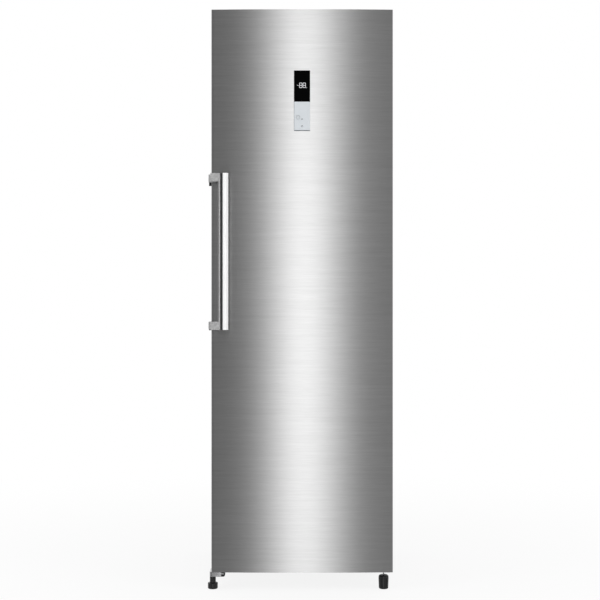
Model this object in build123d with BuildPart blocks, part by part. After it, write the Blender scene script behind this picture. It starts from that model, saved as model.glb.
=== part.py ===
"""Upright freezer with one full-height door, as an assembly of separate pieces.

Millimetres, +Z up, -Y towards the front. The origin is on the floor, below the
middle of the cabinet's width and of the freezer's whole depth.
"""
from build123d import *
import os
from math import cos, radians, sin, sqrt

# ------------------------------------------------------------------ overall sizes
WIDTH = 595.0  # door and cabinet
DOOR_HEIGHT = 1845.0
DOOR_BOTTOM = 60.0  # floor to the door's lower edge
CABINET_DEPTH = 572.0
CABINET_BOTTOM = 54.0  # floor to the cabinet's underside
CABINET_DROP = 8.0  # the cabinet's top lies this far below the door's
DOOR_SIDE = 60.0  # the door's depth at its side edges
DOOR_CROWN = 6.0  # how far the middle of the door bulges past its edges
GASKET_GAP = 12.0  # door to cabinet
HANDLE_REACH = 52.0  # handle in front of the door's crown

# ------------------------------------------------------------------ walls and fits
SHEET = 1.0  # cabinet and door steel
LINER = 2.0  # vacuum-formed plastic
SIDE_WALL = 62.0
CEILING_WALL = 59.0
FLOOR_WALL = 61.0
REAR_WALL = 60.0
FLANGE = 42.0  # steel edge that the gasket closes on
SLIP = 0.3  # between parts that move past each other
RUNNING = 0.05  # radial clearance of a pin in its bush

# ------------------------------------------------------------------ compressor bay
BAY_DEPTH = 221.0
BAY_HEIGHT = 236.0

# ------------------------------------------------------------------ shelves and drawers
DRAWER_COUNT = 4  # full-depth drawers, above the short one
FLAP_COUNT = 2  # spaces behind flaps, above the drawers
FLAP_PITCH = 204.0
GLASS = 4.0
GLASS_GAP = 18.0  # air way between the shelves and the duct cover
DUCT_DEPTH = 63.0  # the evaporator's room behind the duct cover
LEDGE = 8.0  # shelf ledge out of the side wall
DRAWER_WALL = 2.5
DRAWER_GAP = 10.5  # drawer side to cabinet wall
DRAWER_FRONT_GAP = 20.0  # drawer front behind the cabinet's front face
TUB_CLEARANCE = 24.0  # drawer's rim below the shelf above

# ------------------------------------------------------------------ places worked out
HALF = WIDTH / 2
BACK_Y = (CABINET_DEPTH + GASKET_GAP + DOOR_SIDE + DOOR_CROWN + HANDLE_REACH) / 2
FRONT_Y = BACK_Y - CABINET_DEPTH
DOOR_BACK_Y = FRONT_Y - GASKET_GAP
DOOR_EDGE_Y = DOOR_BACK_Y - DOOR_SIDE
CROWN_Y = DOOR_EDGE_Y - DOOR_CROWN
HANDLE_Y = CROWN_Y - HANDLE_REACH
DOOR_TOP = DOOR_BOTTOM + DOOR_HEIGHT
CABINET_TOP = DOOR_TOP - CABINET_DROP
CROWN_R = (HALF**2 + DOOR_CROWN**2) / (2 * DOOR_CROWN)

CAVITY_HALF = HALF - SIDE_WALL
CAVITY_FLOOR = CABINET_BOTTOM + FLOOR_WALL
CAVITY_TOP = CABINET_TOP - CEILING_WALL
CAVITY_BACK = BACK_Y - REAR_WALL
BAY_Y = BACK_Y - BAY_DEPTH
BAY_TOP = CABINET_BOTTOM + BAY_HEIGHT
STEP_Y = BAY_Y - REAR_WALL
STEP_Z = BAY_TOP + REAR_WALL
SHELF_FRONT = FRONT_Y + DRAWER_FRONT_GAP + 6
DUCT_Y = CAVITY_BACK - DUCT_DEPTH
GLASS_DEPTH = DUCT_Y - GLASS_GAP - SHELF_FRONT
DRAWER_PITCH = (CAVITY_TOP - STEP_Z - FLAP_COUNT * FLAP_PITCH) / DRAWER_COUNT
# undersides of the shelf glass; the lowest lies on the step over the compressor bay
SHELVES = [STEP_Z + DRAWER_PITCH * i for i in range(DRAWER_COUNT + 1)]
SHELVES.append(SHELVES[-1] + FLAP_PITCH)

os.makedirs("parts", exist_ok=True)


def save(part, label):
    """Label a finished piece and write its STEP file."""
    part.part.label = label
    export_step(part.part, f"parts/{label}.step")


def face_y(x, inset=0):
    """Depth of the crowned door face, set in by a wall, at a distance from its middle."""
    return CROWN_Y + CROWN_R - sqrt((CROWN_R - inset) ** 2 - x**2)


def cavity_section(grow, front):
    """Corners (y, z) of the food space's side section, grown outwards."""
    return [
        (front, CAVITY_FLOOR - grow),
        (STEP_Y + grow, CAVITY_FLOOR - grow),
        (STEP_Y + grow, STEP_Z - grow),
        (CAVITY_BACK + grow, STEP_Z - grow),
        (CAVITY_BACK + grow, CAVITY_TOP + grow),
        (front, CAVITY_TOP + grow),
    ]


# ====================================================================== cabinet shell
CABINET_MID_Y = (FRONT_Y + BACK_Y) / 2
CABINET_HEIGHT = CABINET_TOP - CABINET_BOTTOM
CORNER_R = 2 * SHEET

with BuildPart() as cabinet_wrap:
    with BuildSketch(Plane.XZ.offset(-FRONT_Y)) as wrap_front:
        with Locations((0, CABINET_BOTTOM)):
            Rectangle(WIDTH, CABINET_HEIGHT, align=(Align.CENTER, Align.MIN))
        fillet(wrap_front.vertices().group_by(Axis.Y)[-1], CORNER_R)
    extrude(amount=-CABINET_DEPTH)
    with BuildSketch(Plane.XY.offset(CABINET_BOTTOM)):
        with Locations((0, CABINET_MID_Y + SHEET)):
            Rectangle(WIDTH - 2 * SHEET, CABINET_DEPTH)
    extrude(amount=CABINET_HEIGHT - SHEET, mode=Mode.SUBTRACT)
    with BuildSketch(Plane.XZ.offset(-FRONT_Y)):
        with Locations((0, CABINET_BOTTOM)):
            Rectangle(
                WIDTH - 2 * FLANGE,
                CABINET_HEIGHT - FLANGE,
                align=(Align.CENTER, Align.MIN),
            )
    extrude(amount=-2 * SHEET, mode=Mode.SUBTRACT)
save(cabinet_wrap, "cabinet_wrap")

PAN_LIP = FLOOR_WALL - SHEET  # the pan's upturned front edge

with BuildPart() as base_pan:
    with BuildSketch(Plane.YZ):
        with BuildLine():
            Polyline(
                (FRONT_Y + SHEET, CABINET_BOTTOM),
                (BAY_Y, CABINET_BOTTOM),
                (BAY_Y, BAY_TOP),
                (BACK_Y - SHEET, BAY_TOP),
                (BACK_Y - SHEET, BAY_TOP + SHEET),
                (BAY_Y - SHEET, BAY_TOP + SHEET),
                (BAY_Y - SHEET, CABINET_BOTTOM + SHEET),
                (FRONT_Y + SHEET, CABINET_BOTTOM + SHEET),
                close=True,
            )
        make_face()
    extrude(amount=HALF - SHEET, both=True)
    with BuildSketch(Plane.YZ):
        with Locations((FRONT_Y, CABINET_BOTTOM)):
            Rectangle(SHEET, PAN_LIP, align=(Align.MIN, Align.MIN))
        with Locations((FRONT_Y, CABINET_BOTTOM)):
            Rectangle(2 * SHEET, SHEET, align=(Align.MIN, Align.MIN))
    extrude(amount=HALF - FLANGE, both=True)
save(base_pan, "base_pan")

with BuildPart() as back_panel:
    with BuildSketch(Plane.XZ.offset(-BACK_Y + SHEET)):
        with Locations((0, BAY_TOP)):
            Rectangle(
                WIDTH - 2 * SHEET,
                CABINET_TOP - SHEET - BAY_TOP,
                align=(Align.CENTER, Align.MIN),
            )
    extrude(amount=-SHEET)
save(back_panel, "back_panel")

LINER_FRONT = FRONT_Y + SHEET  # the liner's edge lies behind the steel flange
FOAM_FRONT = LINER_FRONT + LINER

with BuildPart() as insulation_foam:
    with BuildSketch(Plane.YZ):
        with BuildLine():
            Polyline(
                (FOAM_FRONT, CABINET_BOTTOM + SHEET),
                (BAY_Y - SHEET, CABINET_BOTTOM + SHEET),
                (BAY_Y - SHEET, BAY_TOP + SHEET),
                (BACK_Y - SHEET, BAY_TOP + SHEET),
                (BACK_Y - SHEET, CABINET_TOP - SHEET),
                (FOAM_FRONT, CABINET_TOP - SHEET),
                close=True,
            )
        make_face()
    extrude(amount=HALF - SHEET, both=True)
    with BuildSketch(Plane.YZ):
        with BuildLine():
            Polyline(*cavity_section(LINER, FOAM_FRONT), close=True)
        make_face()
    extrude(amount=CAVITY_HALF + LINER, both=True, mode=Mode.SUBTRACT)
save(insulation_foam, "insulation_foam")

LEDGE_DEPTH = GLASS_DEPTH - 25
LEDGE_HEIGHT = 14.0

with BuildPart() as inner_liner:
    with BuildSketch(Plane.YZ):
        with BuildLine():
            Polyline(*cavity_section(LINER, LINER_FRONT), close=True)
        make_face()
    extrude(amount=CAVITY_HALF + LINER, both=True)
    with BuildSketch(Plane.XZ.offset(-LINER_FRONT)):
        with Locations((0, CABINET_BOTTOM + SHEET)):
            Rectangle(
                WIDTH - 2 * SHEET,
                CABINET_HEIGHT - 2 * SHEET,
                align=(Align.CENTER, Align.MIN),
            )
    extrude(amount=-LINER)
    with BuildSketch(Plane.YZ):
        with BuildLine():
            Polyline(*cavity_section(0, LINER_FRONT), close=True)
        make_face()
    extrude(amount=CAVITY_HALF, both=True, mode=Mode.SUBTRACT)
    # moulded ledges that carry the shelf glass, sloped below to leave the mould
    for shelf_z in SHELVES:
        ledge_depth = LEDGE_DEPTH if shelf_z > STEP_Z else STEP_Y - SHELF_FRONT
        with BuildSketch(Plane.XZ.offset(-SHELF_FRONT)):
            for side in (-1, 1):
                with BuildLine():
                    Polyline(
                        (side * (CAVITY_HALF + SHEET), shelf_z - LEDGE_HEIGHT),
                        (side * CAVITY_HALF, shelf_z - LEDGE_HEIGHT),
                        (side * (CAVITY_HALF - LEDGE), shelf_z - LEDGE_HEIGHT / 2),
                        (side * (CAVITY_HALF - LEDGE), shelf_z),
                        (side * (CAVITY_HALF + SHEET), shelf_z),
                        close=True,
                    )
                make_face()
        extrude(amount=-ledge_depth)
save(inner_liner, "inner_liner")

# ====================================================================== hinges
HINGE_X = HALF - 16.5
HINGE_Y = DOOR_EDGE_Y + 22
HINGE_PLATE = 3.0
HINGE_ARM = 10.0  # half-width of the hinge plates at the pin
PIN_R = 5.0
BUSH_R = 8.0  # across its corners
BUSH_SIDES = 8  # keyed, so that the bush can't turn in the door
BUSH_LENGTH = 16.0
POCKET_DEPTH = 9.0  # recess in the door's top that hides the hinge plate
POCKET_FLOOR = DOOR_TOP - POCKET_DEPTH
LOWER_LEG_TOP = CABINET_BOTTOM + 38
LOWER_PLATE_TOP = DOOR_BOTTOM - 0.7
HINGE_SEAT = 70.0  # how far the upper plate reaches over the cabinet, both ways
HINGE_NECK = (12.0, 24.0)  # where its arm widens into the seat, behind the cabinet's front
LOWER_PLATE_LEFT = 40.0  # reach of the lower plate from the pin along the cabinet
LOWER_PLATE_RIGHT = 14.0

with BuildPart() as upper_hinge:
    with BuildSketch(Plane.XY.offset(CABINET_TOP)) as upper_outline:
        with BuildLine():
            Polyline(
                (HINGE_X - HINGE_ARM, HINGE_Y),
                (HINGE_X - HINGE_ARM, FRONT_Y + HINGE_NECK[0]),
                (HINGE_X - HINGE_SEAT, FRONT_Y + HINGE_NECK[1]),
                (HINGE_X - HINGE_SEAT, FRONT_Y + HINGE_SEAT),
                (HINGE_X + HINGE_ARM, FRONT_Y + HINGE_SEAT),
                (HINGE_X + HINGE_ARM, HINGE_Y),
                close=True,
            )
        make_face()
        with Locations((HINGE_X, HINGE_Y)):
            Circle(HINGE_ARM)
    extrude(amount=HINGE_PLATE)
    with BuildSketch(Plane.XY.offset(POCKET_FLOOR - BUSH_LENGTH + 1)):
        with Locations((HINGE_X, HINGE_Y)):
            Circle(PIN_R)
    extrude(until=Until.NEXT)
    chamfer(upper_hinge.edges().sort_by(Axis.Z)[0], 1)
save(upper_hinge, "upper_hinge")

COVER_WIDTH = 92.0
COVER_DEPTH = 66.0
COVER_HEIGHT = 14.0
COVER_WALL = 2.0
COVER_R = 8.0
COVER_EDGE = 1.5
COVER_X = HINGE_X - 32
COVER_Y = FRONT_Y + 45

with BuildPart() as hinge_cover:
    with BuildSketch(Plane.XY.offset(CABINET_TOP)):
        with Locations((COVER_X, COVER_Y)):
            RectangleRounded(COVER_WIDTH, COVER_DEPTH, COVER_R)
    extrude(amount=COVER_HEIGHT)
    chamfer(hinge_cover.faces().sort_by(Axis.Z)[-1].edges(), COVER_EDGE)
    with BuildSketch(Plane.XY.offset(CABINET_TOP)):
        with Locations((COVER_X, COVER_Y)):
            Rectangle(COVER_WIDTH - 2 * COVER_R, COVER_DEPTH - 2 * COVER_WALL)
            Rectangle(COVER_WIDTH - 2 * COVER_WALL, COVER_DEPTH - 2 * COVER_R)
    extrude(amount=COVER_HEIGHT - COVER_WALL, mode=Mode.SUBTRACT)
    # the mouth that the hinge plate comes out of
    with BuildSketch(Plane.XY.offset(CABINET_TOP)):
        with Locations((COVER_X, COVER_Y - COVER_DEPTH / 2)):
            Rectangle(COVER_WIDTH, COVER_R + 2 * HINGE_NECK[1])
    extrude(amount=HINGE_PLATE + SLIP, mode=Mode.SUBTRACT)
save(hinge_cover, "hinge_cover")

with BuildPart() as lower_hinge:
    # upright leg on the cabinet's front rail
    with BuildSketch(Plane.XZ.offset(-FRONT_Y)):
        with Locations((HINGE_X - LOWER_PLATE_LEFT, LOWER_PLATE_TOP)):
            Rectangle(
                LOWER_PLATE_LEFT + LOWER_PLATE_RIGHT,
                LOWER_LEG_TOP - LOWER_PLATE_TOP,
                align=(Align.MIN, Align.MIN),
            )
    extrude(amount=HINGE_PLATE)
    # level plate under the door
    with BuildSketch(Plane.XY.offset(LOWER_PLATE_TOP - HINGE_PLATE)) as lower_outline:
        with BuildLine():
            Polyline(
                (HINGE_X - LOWER_PLATE_LEFT, FRONT_Y),
                (HINGE_X - LOWER_PLATE_LEFT + 12, HINGE_Y - 6),
                (HINGE_X + 7, HINGE_Y - 9),
                (HINGE_X + LOWER_PLATE_RIGHT, HINGE_Y),
                (HINGE_X + LOWER_PLATE_RIGHT, FRONT_Y),
                close=True,
            )
        make_face()
    extrude(amount=HINGE_PLATE)
    with BuildSketch(Plane.XY.offset(LOWER_PLATE_TOP)):
        with Locations((HINGE_X, HINGE_Y)):
            Circle(PIN_R)
    extrude(amount=BUSH_LENGTH - 1)
    chamfer(lower_hinge.edges().group_by(Axis.Z)[-1], 0.5)
save(lower_hinge, "lower_hinge")

# ====================================================================== door
EDGE_R = 4.0
CAP = 12.0
CAP_RIM = 6.0
CAP_RECESS = 3.0
DOME = GASKET_GAP  # the liner's raised middle, level with the cabinet's front
DOME_GAP = 6.0
PANEL_WIDTH = 53.0
PANEL_TOP = DOOR_TOP - 200.3
DISPLAY_HEIGHT = 102.6
TOUCH_HEIGHT = 93.0
PANEL_PROUD = 0.3
PANEL_THICK = 3.0
PANEL_EDGE = 0.2  # window to the cut in the steel
PANEL_HEIGHT = DISPLAY_HEIGHT + TOUCH_HEIGHT
PANEL_Z = PANEL_TOP - PANEL_HEIGHT / 2
BOARD = 1.6
HOUSING_DEPTH = 16.0
HOUSING_WALL = 1.5
POCKET_SIDE = 2.0  # clearance beside the hinge plate
GASKET_WIDTH = 20.0
GASKET_HALF = HINGE_X - 2  # its outer edge stays inside the hinge pin
GASKET_BOTTOM = LOWER_LEG_TOP + 2
GASKET_TOP = CABINET_TOP - 18.5


def door_section(inset, back):
    """Plan section of the door, set in by a wall, drawn in the current sketch."""
    half = HALF - inset
    edge = face_y(half, inset)
    with BuildLine() as outline:
        Line((half, edge), (half, back))
        Line((half, back), (-half, back))
        Line((-half, back), (-half, edge))
        ThreePointArc((-half, edge), (0, CROWN_Y + inset), (half, edge))
    section = make_face(outline.edges())
    fillet(section.vertices().group_by(Axis.Y)[0], max(EDGE_R - inset, 0.5))


def hinge_pocket(grow):
    """Plan outline of the recess that the upper hinge plate swings in."""
    left = HINGE_X - HINGE_ARM - POCKET_SIDE - grow
    front = HINGE_Y - HINGE_ARM - 8 - grow
    with Locations((left, front)):
        Rectangle(HALF + 1 - left, DOOR_BACK_Y + 1 - front, align=(Align.MIN, Align.MIN))


with BuildPart() as door_skin:
    with BuildSketch(Plane.XY.offset(DOOR_BOTTOM)):
        door_section(0, DOOR_BACK_Y)
    extrude(amount=DOOR_HEIGHT)
    with BuildSketch(Plane.XY.offset(DOOR_BOTTOM)):
        door_section(SHEET, DOOR_BACK_Y + SHEET)
    extrude(amount=DOOR_HEIGHT, mode=Mode.SUBTRACT)
    with BuildSketch(Plane.XZ.offset(-CROWN_Y + SHEET)):
        with Locations((0, PANEL_Z)):
            Rectangle(PANEL_WIDTH, PANEL_HEIGHT)
    extrude(amount=-3 * SHEET, mode=Mode.SUBTRACT)
    with BuildSketch(Plane.XY.offset(POCKET_FLOOR)):
        hinge_pocket(0)
    extrude(amount=POCKET_DEPTH, mode=Mode.SUBTRACT)
save(door_skin, "door_skin")

with BuildPart() as door_top_cap:
    with BuildSketch(Plane.XY.offset(DOOR_TOP - CAP)):
        door_section(SHEET, DOOR_BACK_Y - LINER)
    extrude(amount=CAP)
    with BuildSketch(Plane.XY.offset(DOOR_TOP - CAP_RECESS)):
        door_section(SHEET + CAP_RIM, DOOR_BACK_Y - LINER - CAP_RIM)
    extrude(amount=CAP_RECESS, mode=Mode.SUBTRACT)
    with BuildSketch(Plane.XY.offset(POCKET_FLOOR)):
        hinge_pocket(0)
    extrude(amount=POCKET_DEPTH, mode=Mode.SUBTRACT)
    with BuildSketch(Plane.XY.offset(DOOR_TOP - CAP)):
        with Locations((HINGE_X, HINGE_Y)):
            RegularPolygon(BUSH_R + RUNNING, BUSH_SIDES)
    extrude(amount=CAP, mode=Mode.SUBTRACT)
save(door_top_cap, "door_top_cap")

with BuildPart() as door_bottom_cap:
    with BuildSketch(Plane.XY.offset(DOOR_BOTTOM)):
        door_section(SHEET, DOOR_BACK_Y - LINER)
    extrude(amount=CAP)
    with BuildSketch(Plane.XY.offset(DOOR_BOTTOM)):
        door_section(SHEET + CAP_RIM, DOOR_BACK_Y - LINER - CAP_RIM)
        with Locations((HINGE_X, HINGE_Y)):
            RegularPolygon(BUSH_R + 5, BUSH_SIDES, mode=Mode.SUBTRACT)
    extrude(amount=CAP_RECESS, mode=Mode.SUBTRACT)
    with BuildSketch(Plane.XY.offset(DOOR_BOTTOM)):
        with Locations((HINGE_X, HINGE_Y)):
            RegularPolygon(BUSH_R + RUNNING, BUSH_SIDES)
    extrude(amount=CAP, mode=Mode.SUBTRACT)
save(door_bottom_cap, "door_bottom_cap")

with BuildPart() as hinge_bushes:
    for bush_z in (DOOR_BOTTOM, POCKET_FLOOR - BUSH_LENGTH):
        with BuildSketch(Plane.XY.offset(bush_z)):
            with Locations((HINGE_X, HINGE_Y)):
                RegularPolygon(BUSH_R, BUSH_SIDES)
                Circle(PIN_R + RUNNING, mode=Mode.SUBTRACT)
        extrude(amount=BUSH_LENGTH)
save(hinge_bushes, "hinge_bushes")

DOME_HALF = CAVITY_HALF - DOME_GAP
DOME_BOTTOM = CAVITY_FLOOR + DOME_GAP
DOME_TOP = CAVITY_TOP - DOME_GAP
DOME_MID = (DOME_BOTTOM + DOME_TOP) / 2
DOME_DRAFT = 30.0  # degrees of slope on the raised middle's sides

with BuildPart() as door_foam:
    with BuildSketch(Plane.XY.offset(DOOR_BOTTOM + CAP)):
        door_section(SHEET, DOOR_BACK_Y - LINER)
    extrude(amount=DOOR_HEIGHT - 2 * CAP)
    with BuildSketch(Plane.XZ.offset(-DOOR_BACK_Y + LINER)):
        with Locations((0, DOME_MID)):
            Rectangle(2 * (DOME_HALF - LINER), DOME_TOP - DOME_BOTTOM - 2 * LINER)
    extrude(amount=-DOME, taper=DOME_DRAFT)
    with BuildSketch(Plane.XZ.offset(-CROWN_Y)):
        with Locations((0, PANEL_Z)):
            Rectangle(
                PANEL_WIDTH + 2 * HOUSING_WALL,
                PANEL_HEIGHT + 2 * HOUSING_WALL,
            )
    extrude(amount=-HOUSING_DEPTH - SHEET, mode=Mode.SUBTRACT)
    for bush_z in (DOOR_BOTTOM + CAP, POCKET_FLOOR - BUSH_LENGTH):
        with BuildSketch(Plane.XY.offset(bush_z)):
            with Locations((HINGE_X, HINGE_Y)):
                RegularPolygon(BUSH_R + RUNNING, BUSH_SIDES)
        extrude(amount=BUSH_LENGTH, mode=Mode.SUBTRACT)
save(door_foam, "door_foam")

with BuildPart() as door_liner:
    with BuildSketch(Plane.XZ.offset(-DOOR_BACK_Y + LINER)):
        with Locations((0, DOOR_BOTTOM)):
            Rectangle(WIDTH - 2 * SHEET, DOOR_HEIGHT, align=(Align.CENTER, Align.MIN))
    extrude(amount=-LINER)
    with BuildSketch(Plane.XZ.offset(-DOOR_BACK_Y)):
        with Locations((0, DOME_MID)):
            Rectangle(2 * DOME_HALF, DOME_TOP - DOME_BOTTOM)
    extrude(amount=-DOME, taper=DOME_DRAFT)
    with BuildSketch(Plane.XZ.offset(-DOOR_BACK_Y + LINER)):
        with Locations((0, DOME_MID)):
            Rectangle(2 * (DOME_HALF - LINER), DOME_TOP - DOME_BOTTOM - 2 * LINER)
    extrude(amount=-DOME, taper=DOME_DRAFT, mode=Mode.SUBTRACT)
    with BuildSketch(Plane.XY.offset(POCKET_FLOOR)):
        hinge_pocket(0)
    extrude(amount=POCKET_DEPTH, mode=Mode.SUBTRACT)
save(door_liner, "door_liner")

# base that clips on the liner, waist of the bellows, and the strip that holds the magnet
GASKET_LAYERS = ((4.0, 3.0), (3.0, 5.5), (GASKET_GAP - 7.0, 0.0))

with BuildPart() as door_gasket:
    layer_y = DOOR_BACK_Y
    for layer_depth, layer_inset in GASKET_LAYERS:
        with BuildSketch(Plane.XZ.offset(-layer_y)):
            with Locations((0, (GASKET_TOP + GASKET_BOTTOM) / 2)):
                Rectangle(
                    2 * (GASKET_HALF - layer_inset),
                    GASKET_TOP - GASKET_BOTTOM - 2 * layer_inset,
                )
                Rectangle(
                    2 * (GASKET_HALF - GASKET_WIDTH + layer_inset),
                    GASKET_TOP - GASKET_BOTTOM - 2 * (GASKET_WIDTH - layer_inset),
                    mode=Mode.SUBTRACT,
                )
        extrude(amount=-layer_depth)
        layer_y += layer_depth
save(door_gasket, "door_gasket")


def panel_plate(part_name, top, height):
    """A flush plate in the door's control panel, from its top edge down."""
    with BuildPart() as plate:
        with BuildSketch(Plane.XZ.offset(-CROWN_Y + PANEL_PROUD)):
            with Locations((0, top - height / 2)):
                Rectangle(PANEL_WIDTH - 2 * PANEL_EDGE, height)
        extrude(amount=-PANEL_THICK)
    save(plate, part_name)


panel_plate("display_window", PANEL_TOP - PANEL_EDGE, DISPLAY_HEIGHT - PANEL_EDGE)
panel_plate("touch_panel", PANEL_TOP - DISPLAY_HEIGHT, TOUCH_HEIGHT - PANEL_EDGE)

BOARD_Y = CROWN_Y - PANEL_PROUD + PANEL_THICK
BOARD_MARGIN = (4.0, 6.0)  # narrower and shorter than the panel
CHIP = 14.0
CHIP_RISE = 30.0  # above the panel's middle
PLUG_SIZE = (20.0, 8.0)
PLUG_DROP = 60.0  # below the panel's middle
CHIP_HEIGHT = 3.0

with BuildPart() as display_board:
    with BuildSketch(Plane.XZ.offset(-BOARD_Y)):
        with Locations((0, PANEL_Z)):
            Rectangle(PANEL_WIDTH - BOARD_MARGIN[0], PANEL_HEIGHT - BOARD_MARGIN[1])
    extrude(amount=-BOARD)
    # driver chip and cable socket on the back
    with BuildSketch(Plane.XZ.offset(-BOARD_Y - BOARD)):
        with Locations((0, PANEL_Z + CHIP_RISE)):
            Rectangle(CHIP, CHIP)
        with Locations((0, PANEL_Z - PLUG_DROP)):
            Rectangle(*PLUG_SIZE)
    extrude(amount=-CHIP_HEIGHT)
save(display_board, "display_board")

HOUSING_FRONT = CROWN_Y + SHEET + SLIP
HOUSING_FIT = 0.2  # smaller than its pocket in the foam

with BuildPart() as control_housing:
    with BuildSketch(Plane.XZ.offset(-HOUSING_FRONT)):
        with Locations((0, PANEL_Z)):
            Rectangle(
                PANEL_WIDTH + 2 * HOUSING_WALL - HOUSING_FIT,
                PANEL_HEIGHT + 2 * HOUSING_WALL - HOUSING_FIT,
            )
    extrude(amount=-HOUSING_DEPTH + SLIP)
    with BuildSketch(Plane.XZ.offset(-HOUSING_FRONT)):
        with Locations((0, PANEL_Z)):
            Rectangle(PANEL_WIDTH, PANEL_HEIGHT)
    extrude(amount=-HOUSING_DEPTH + HOUSING_WALL, mode=Mode.SUBTRACT)
save(control_housing, "control_housing")

# ====================================================================== lever handle
HANDLE_BOTTOM = 856.0
HANDLE_LENGTH = 508.0
PULL_ANGLE = 18.0
ARM_HEIGHT = 26.5
ARM_FRONT = HANDLE_Y + 5
ARM_RIGHT = -HALF + 33
ARM_CHEEK = 4.0
ARM_R = 9.2  # round back of the arm about its pivot
ARM_EDGE = 2.5
ARM_SHOULDER = (4.0, 3.0)  # where the arm leaves the bar's tongue
ARM_STEP = 6.0  # flat of the arm's left side in front of its pivot
TONGUE = 6.0  # carries the bar from behind
BAR_LEFT = -HALF + 41
BAR_WIDTH = 17.5
BAR_DEPTH = 14.0
BAR_FLAT = 10.5  # front face, before the slanted one
BAR_SLANT = 2.5
BAR_EDGE = 1.2
TONGUE_INSET = 3.0  # the tongue ends this far inside the bar's right side
RAIL_WIDTH = 8.0
RAIL_DEPTH = 12.0
RAIL_EDGE = 1.0
RAIL_BACK = 1.0  # behind the arms' front
PIVOT_X = -HALF + 9.5
PIVOT_Y = DOOR_EDGE_Y - 16
PIVOT_R = 2.5
KNUCKLE_R = 6.0
KNUCKLE_STEM = 7.0
KNUCKLE_REACH = 12.0  # from the pivot into the foot plate
KNUCKLE_FREE = (0.5, 3.0)  # room beside and in front of the knuckle in the arm's slot
CHEEK_SLOT = (8.0, 30.0)  # wider than the knuckle, and deep enough to leave the arm
MOUNT_PLATE = 6.0
MOUNT_GAP = 0.1  # between the foot plate and the crowned face
MOUNT_TRIM = 1.0  # shorter than the arm at each end
PIVOT_TRIM = 0.5  # the same for the pin
PUSHER_OUT = 8.0  # beyond the door's side
PUSHER_IN = 1.0
PUSHER_HOOK = 5.0
PUSHER_HOOK_END = 14.0  # how far the hook reaches behind the door
PUSHER_TRIM = 1.0  # shorter than the arm at each end
PUSHER_AHEAD = 2.3  # the pusher's front behind the pivots
PUSHER_REST = 0.6  # left to the cabinet when the handle is pulled
GUIDE_SLOT = (1.0, 0.2)  # longer and wider than the guide pin's way
NOSE_CLEARANCE = 0.6
NOSE_TRIM = 2.0  # lower than the arm at each end, and inside its side
NOSE_FRONT = 8.0
NOSE_SHOULDER = 4.0
NOSE_TIP = (2.0, 1.5)
GUIDE_PIN_R = 2.0
GUIDE_R = 3.5
GUIDE_Y = DOOR_EDGE_Y + 8
GUIDE_DROPS = (2.5, 10.0)  # how far the guides reach below the lower and upper arm

HANDLE_TOP = HANDLE_BOTTOM + HANDLE_LENGTH
ARM_LEVELS = (HANDLE_BOTTOM, HANDLE_TOP - ARM_HEIGHT)
TONGUE_Y = HANDLE_Y + BAR_DEPTH
PUSHER_X = -HALF - (PUSHER_OUT + PUSHER_IN) / 2
PUSHER_FRONT = PIVOT_Y + PUSHER_AHEAD
PUSHER_STROKE = (PIVOT_X - PUSHER_X) * sin(radians(PULL_ANGLE))
PUSHER_END = FRONT_Y - PUSHER_STROKE - PUSHER_REST

with BuildPart() as handle_bar:
    with BuildSketch(Plane.XY.offset(HANDLE_BOTTOM)) as bar_section:
        with BuildLine():
            Polyline(
                (BAR_LEFT, HANDLE_Y),
                (BAR_LEFT + BAR_FLAT, HANDLE_Y),
                (BAR_LEFT + BAR_WIDTH, HANDLE_Y + BAR_SLANT),
                (BAR_LEFT + BAR_WIDTH, TONGUE_Y),
                (BAR_LEFT, TONGUE_Y),
                close=True,
            )
        make_face()
        fillet(bar_section.vertices(), BAR_EDGE)
    extrude(amount=HANDLE_LENGTH)
save(handle_bar, "handle_bar")

with BuildPart() as handle_rail:
    with BuildSketch(Plane.XY.offset(HANDLE_BOTTOM + ARM_HEIGHT)) as rail_section:
        with Locations((ARM_RIGHT, ARM_FRONT + RAIL_BACK)):
            Rectangle(RAIL_WIDTH, RAIL_DEPTH, align=(Align.MAX, Align.MIN))
        fillet(rail_section.vertices(), RAIL_EDGE)
    extrude(amount=HANDLE_LENGTH - 2 * ARM_HEIGHT)
save(handle_rail, "handle_rail")

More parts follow.
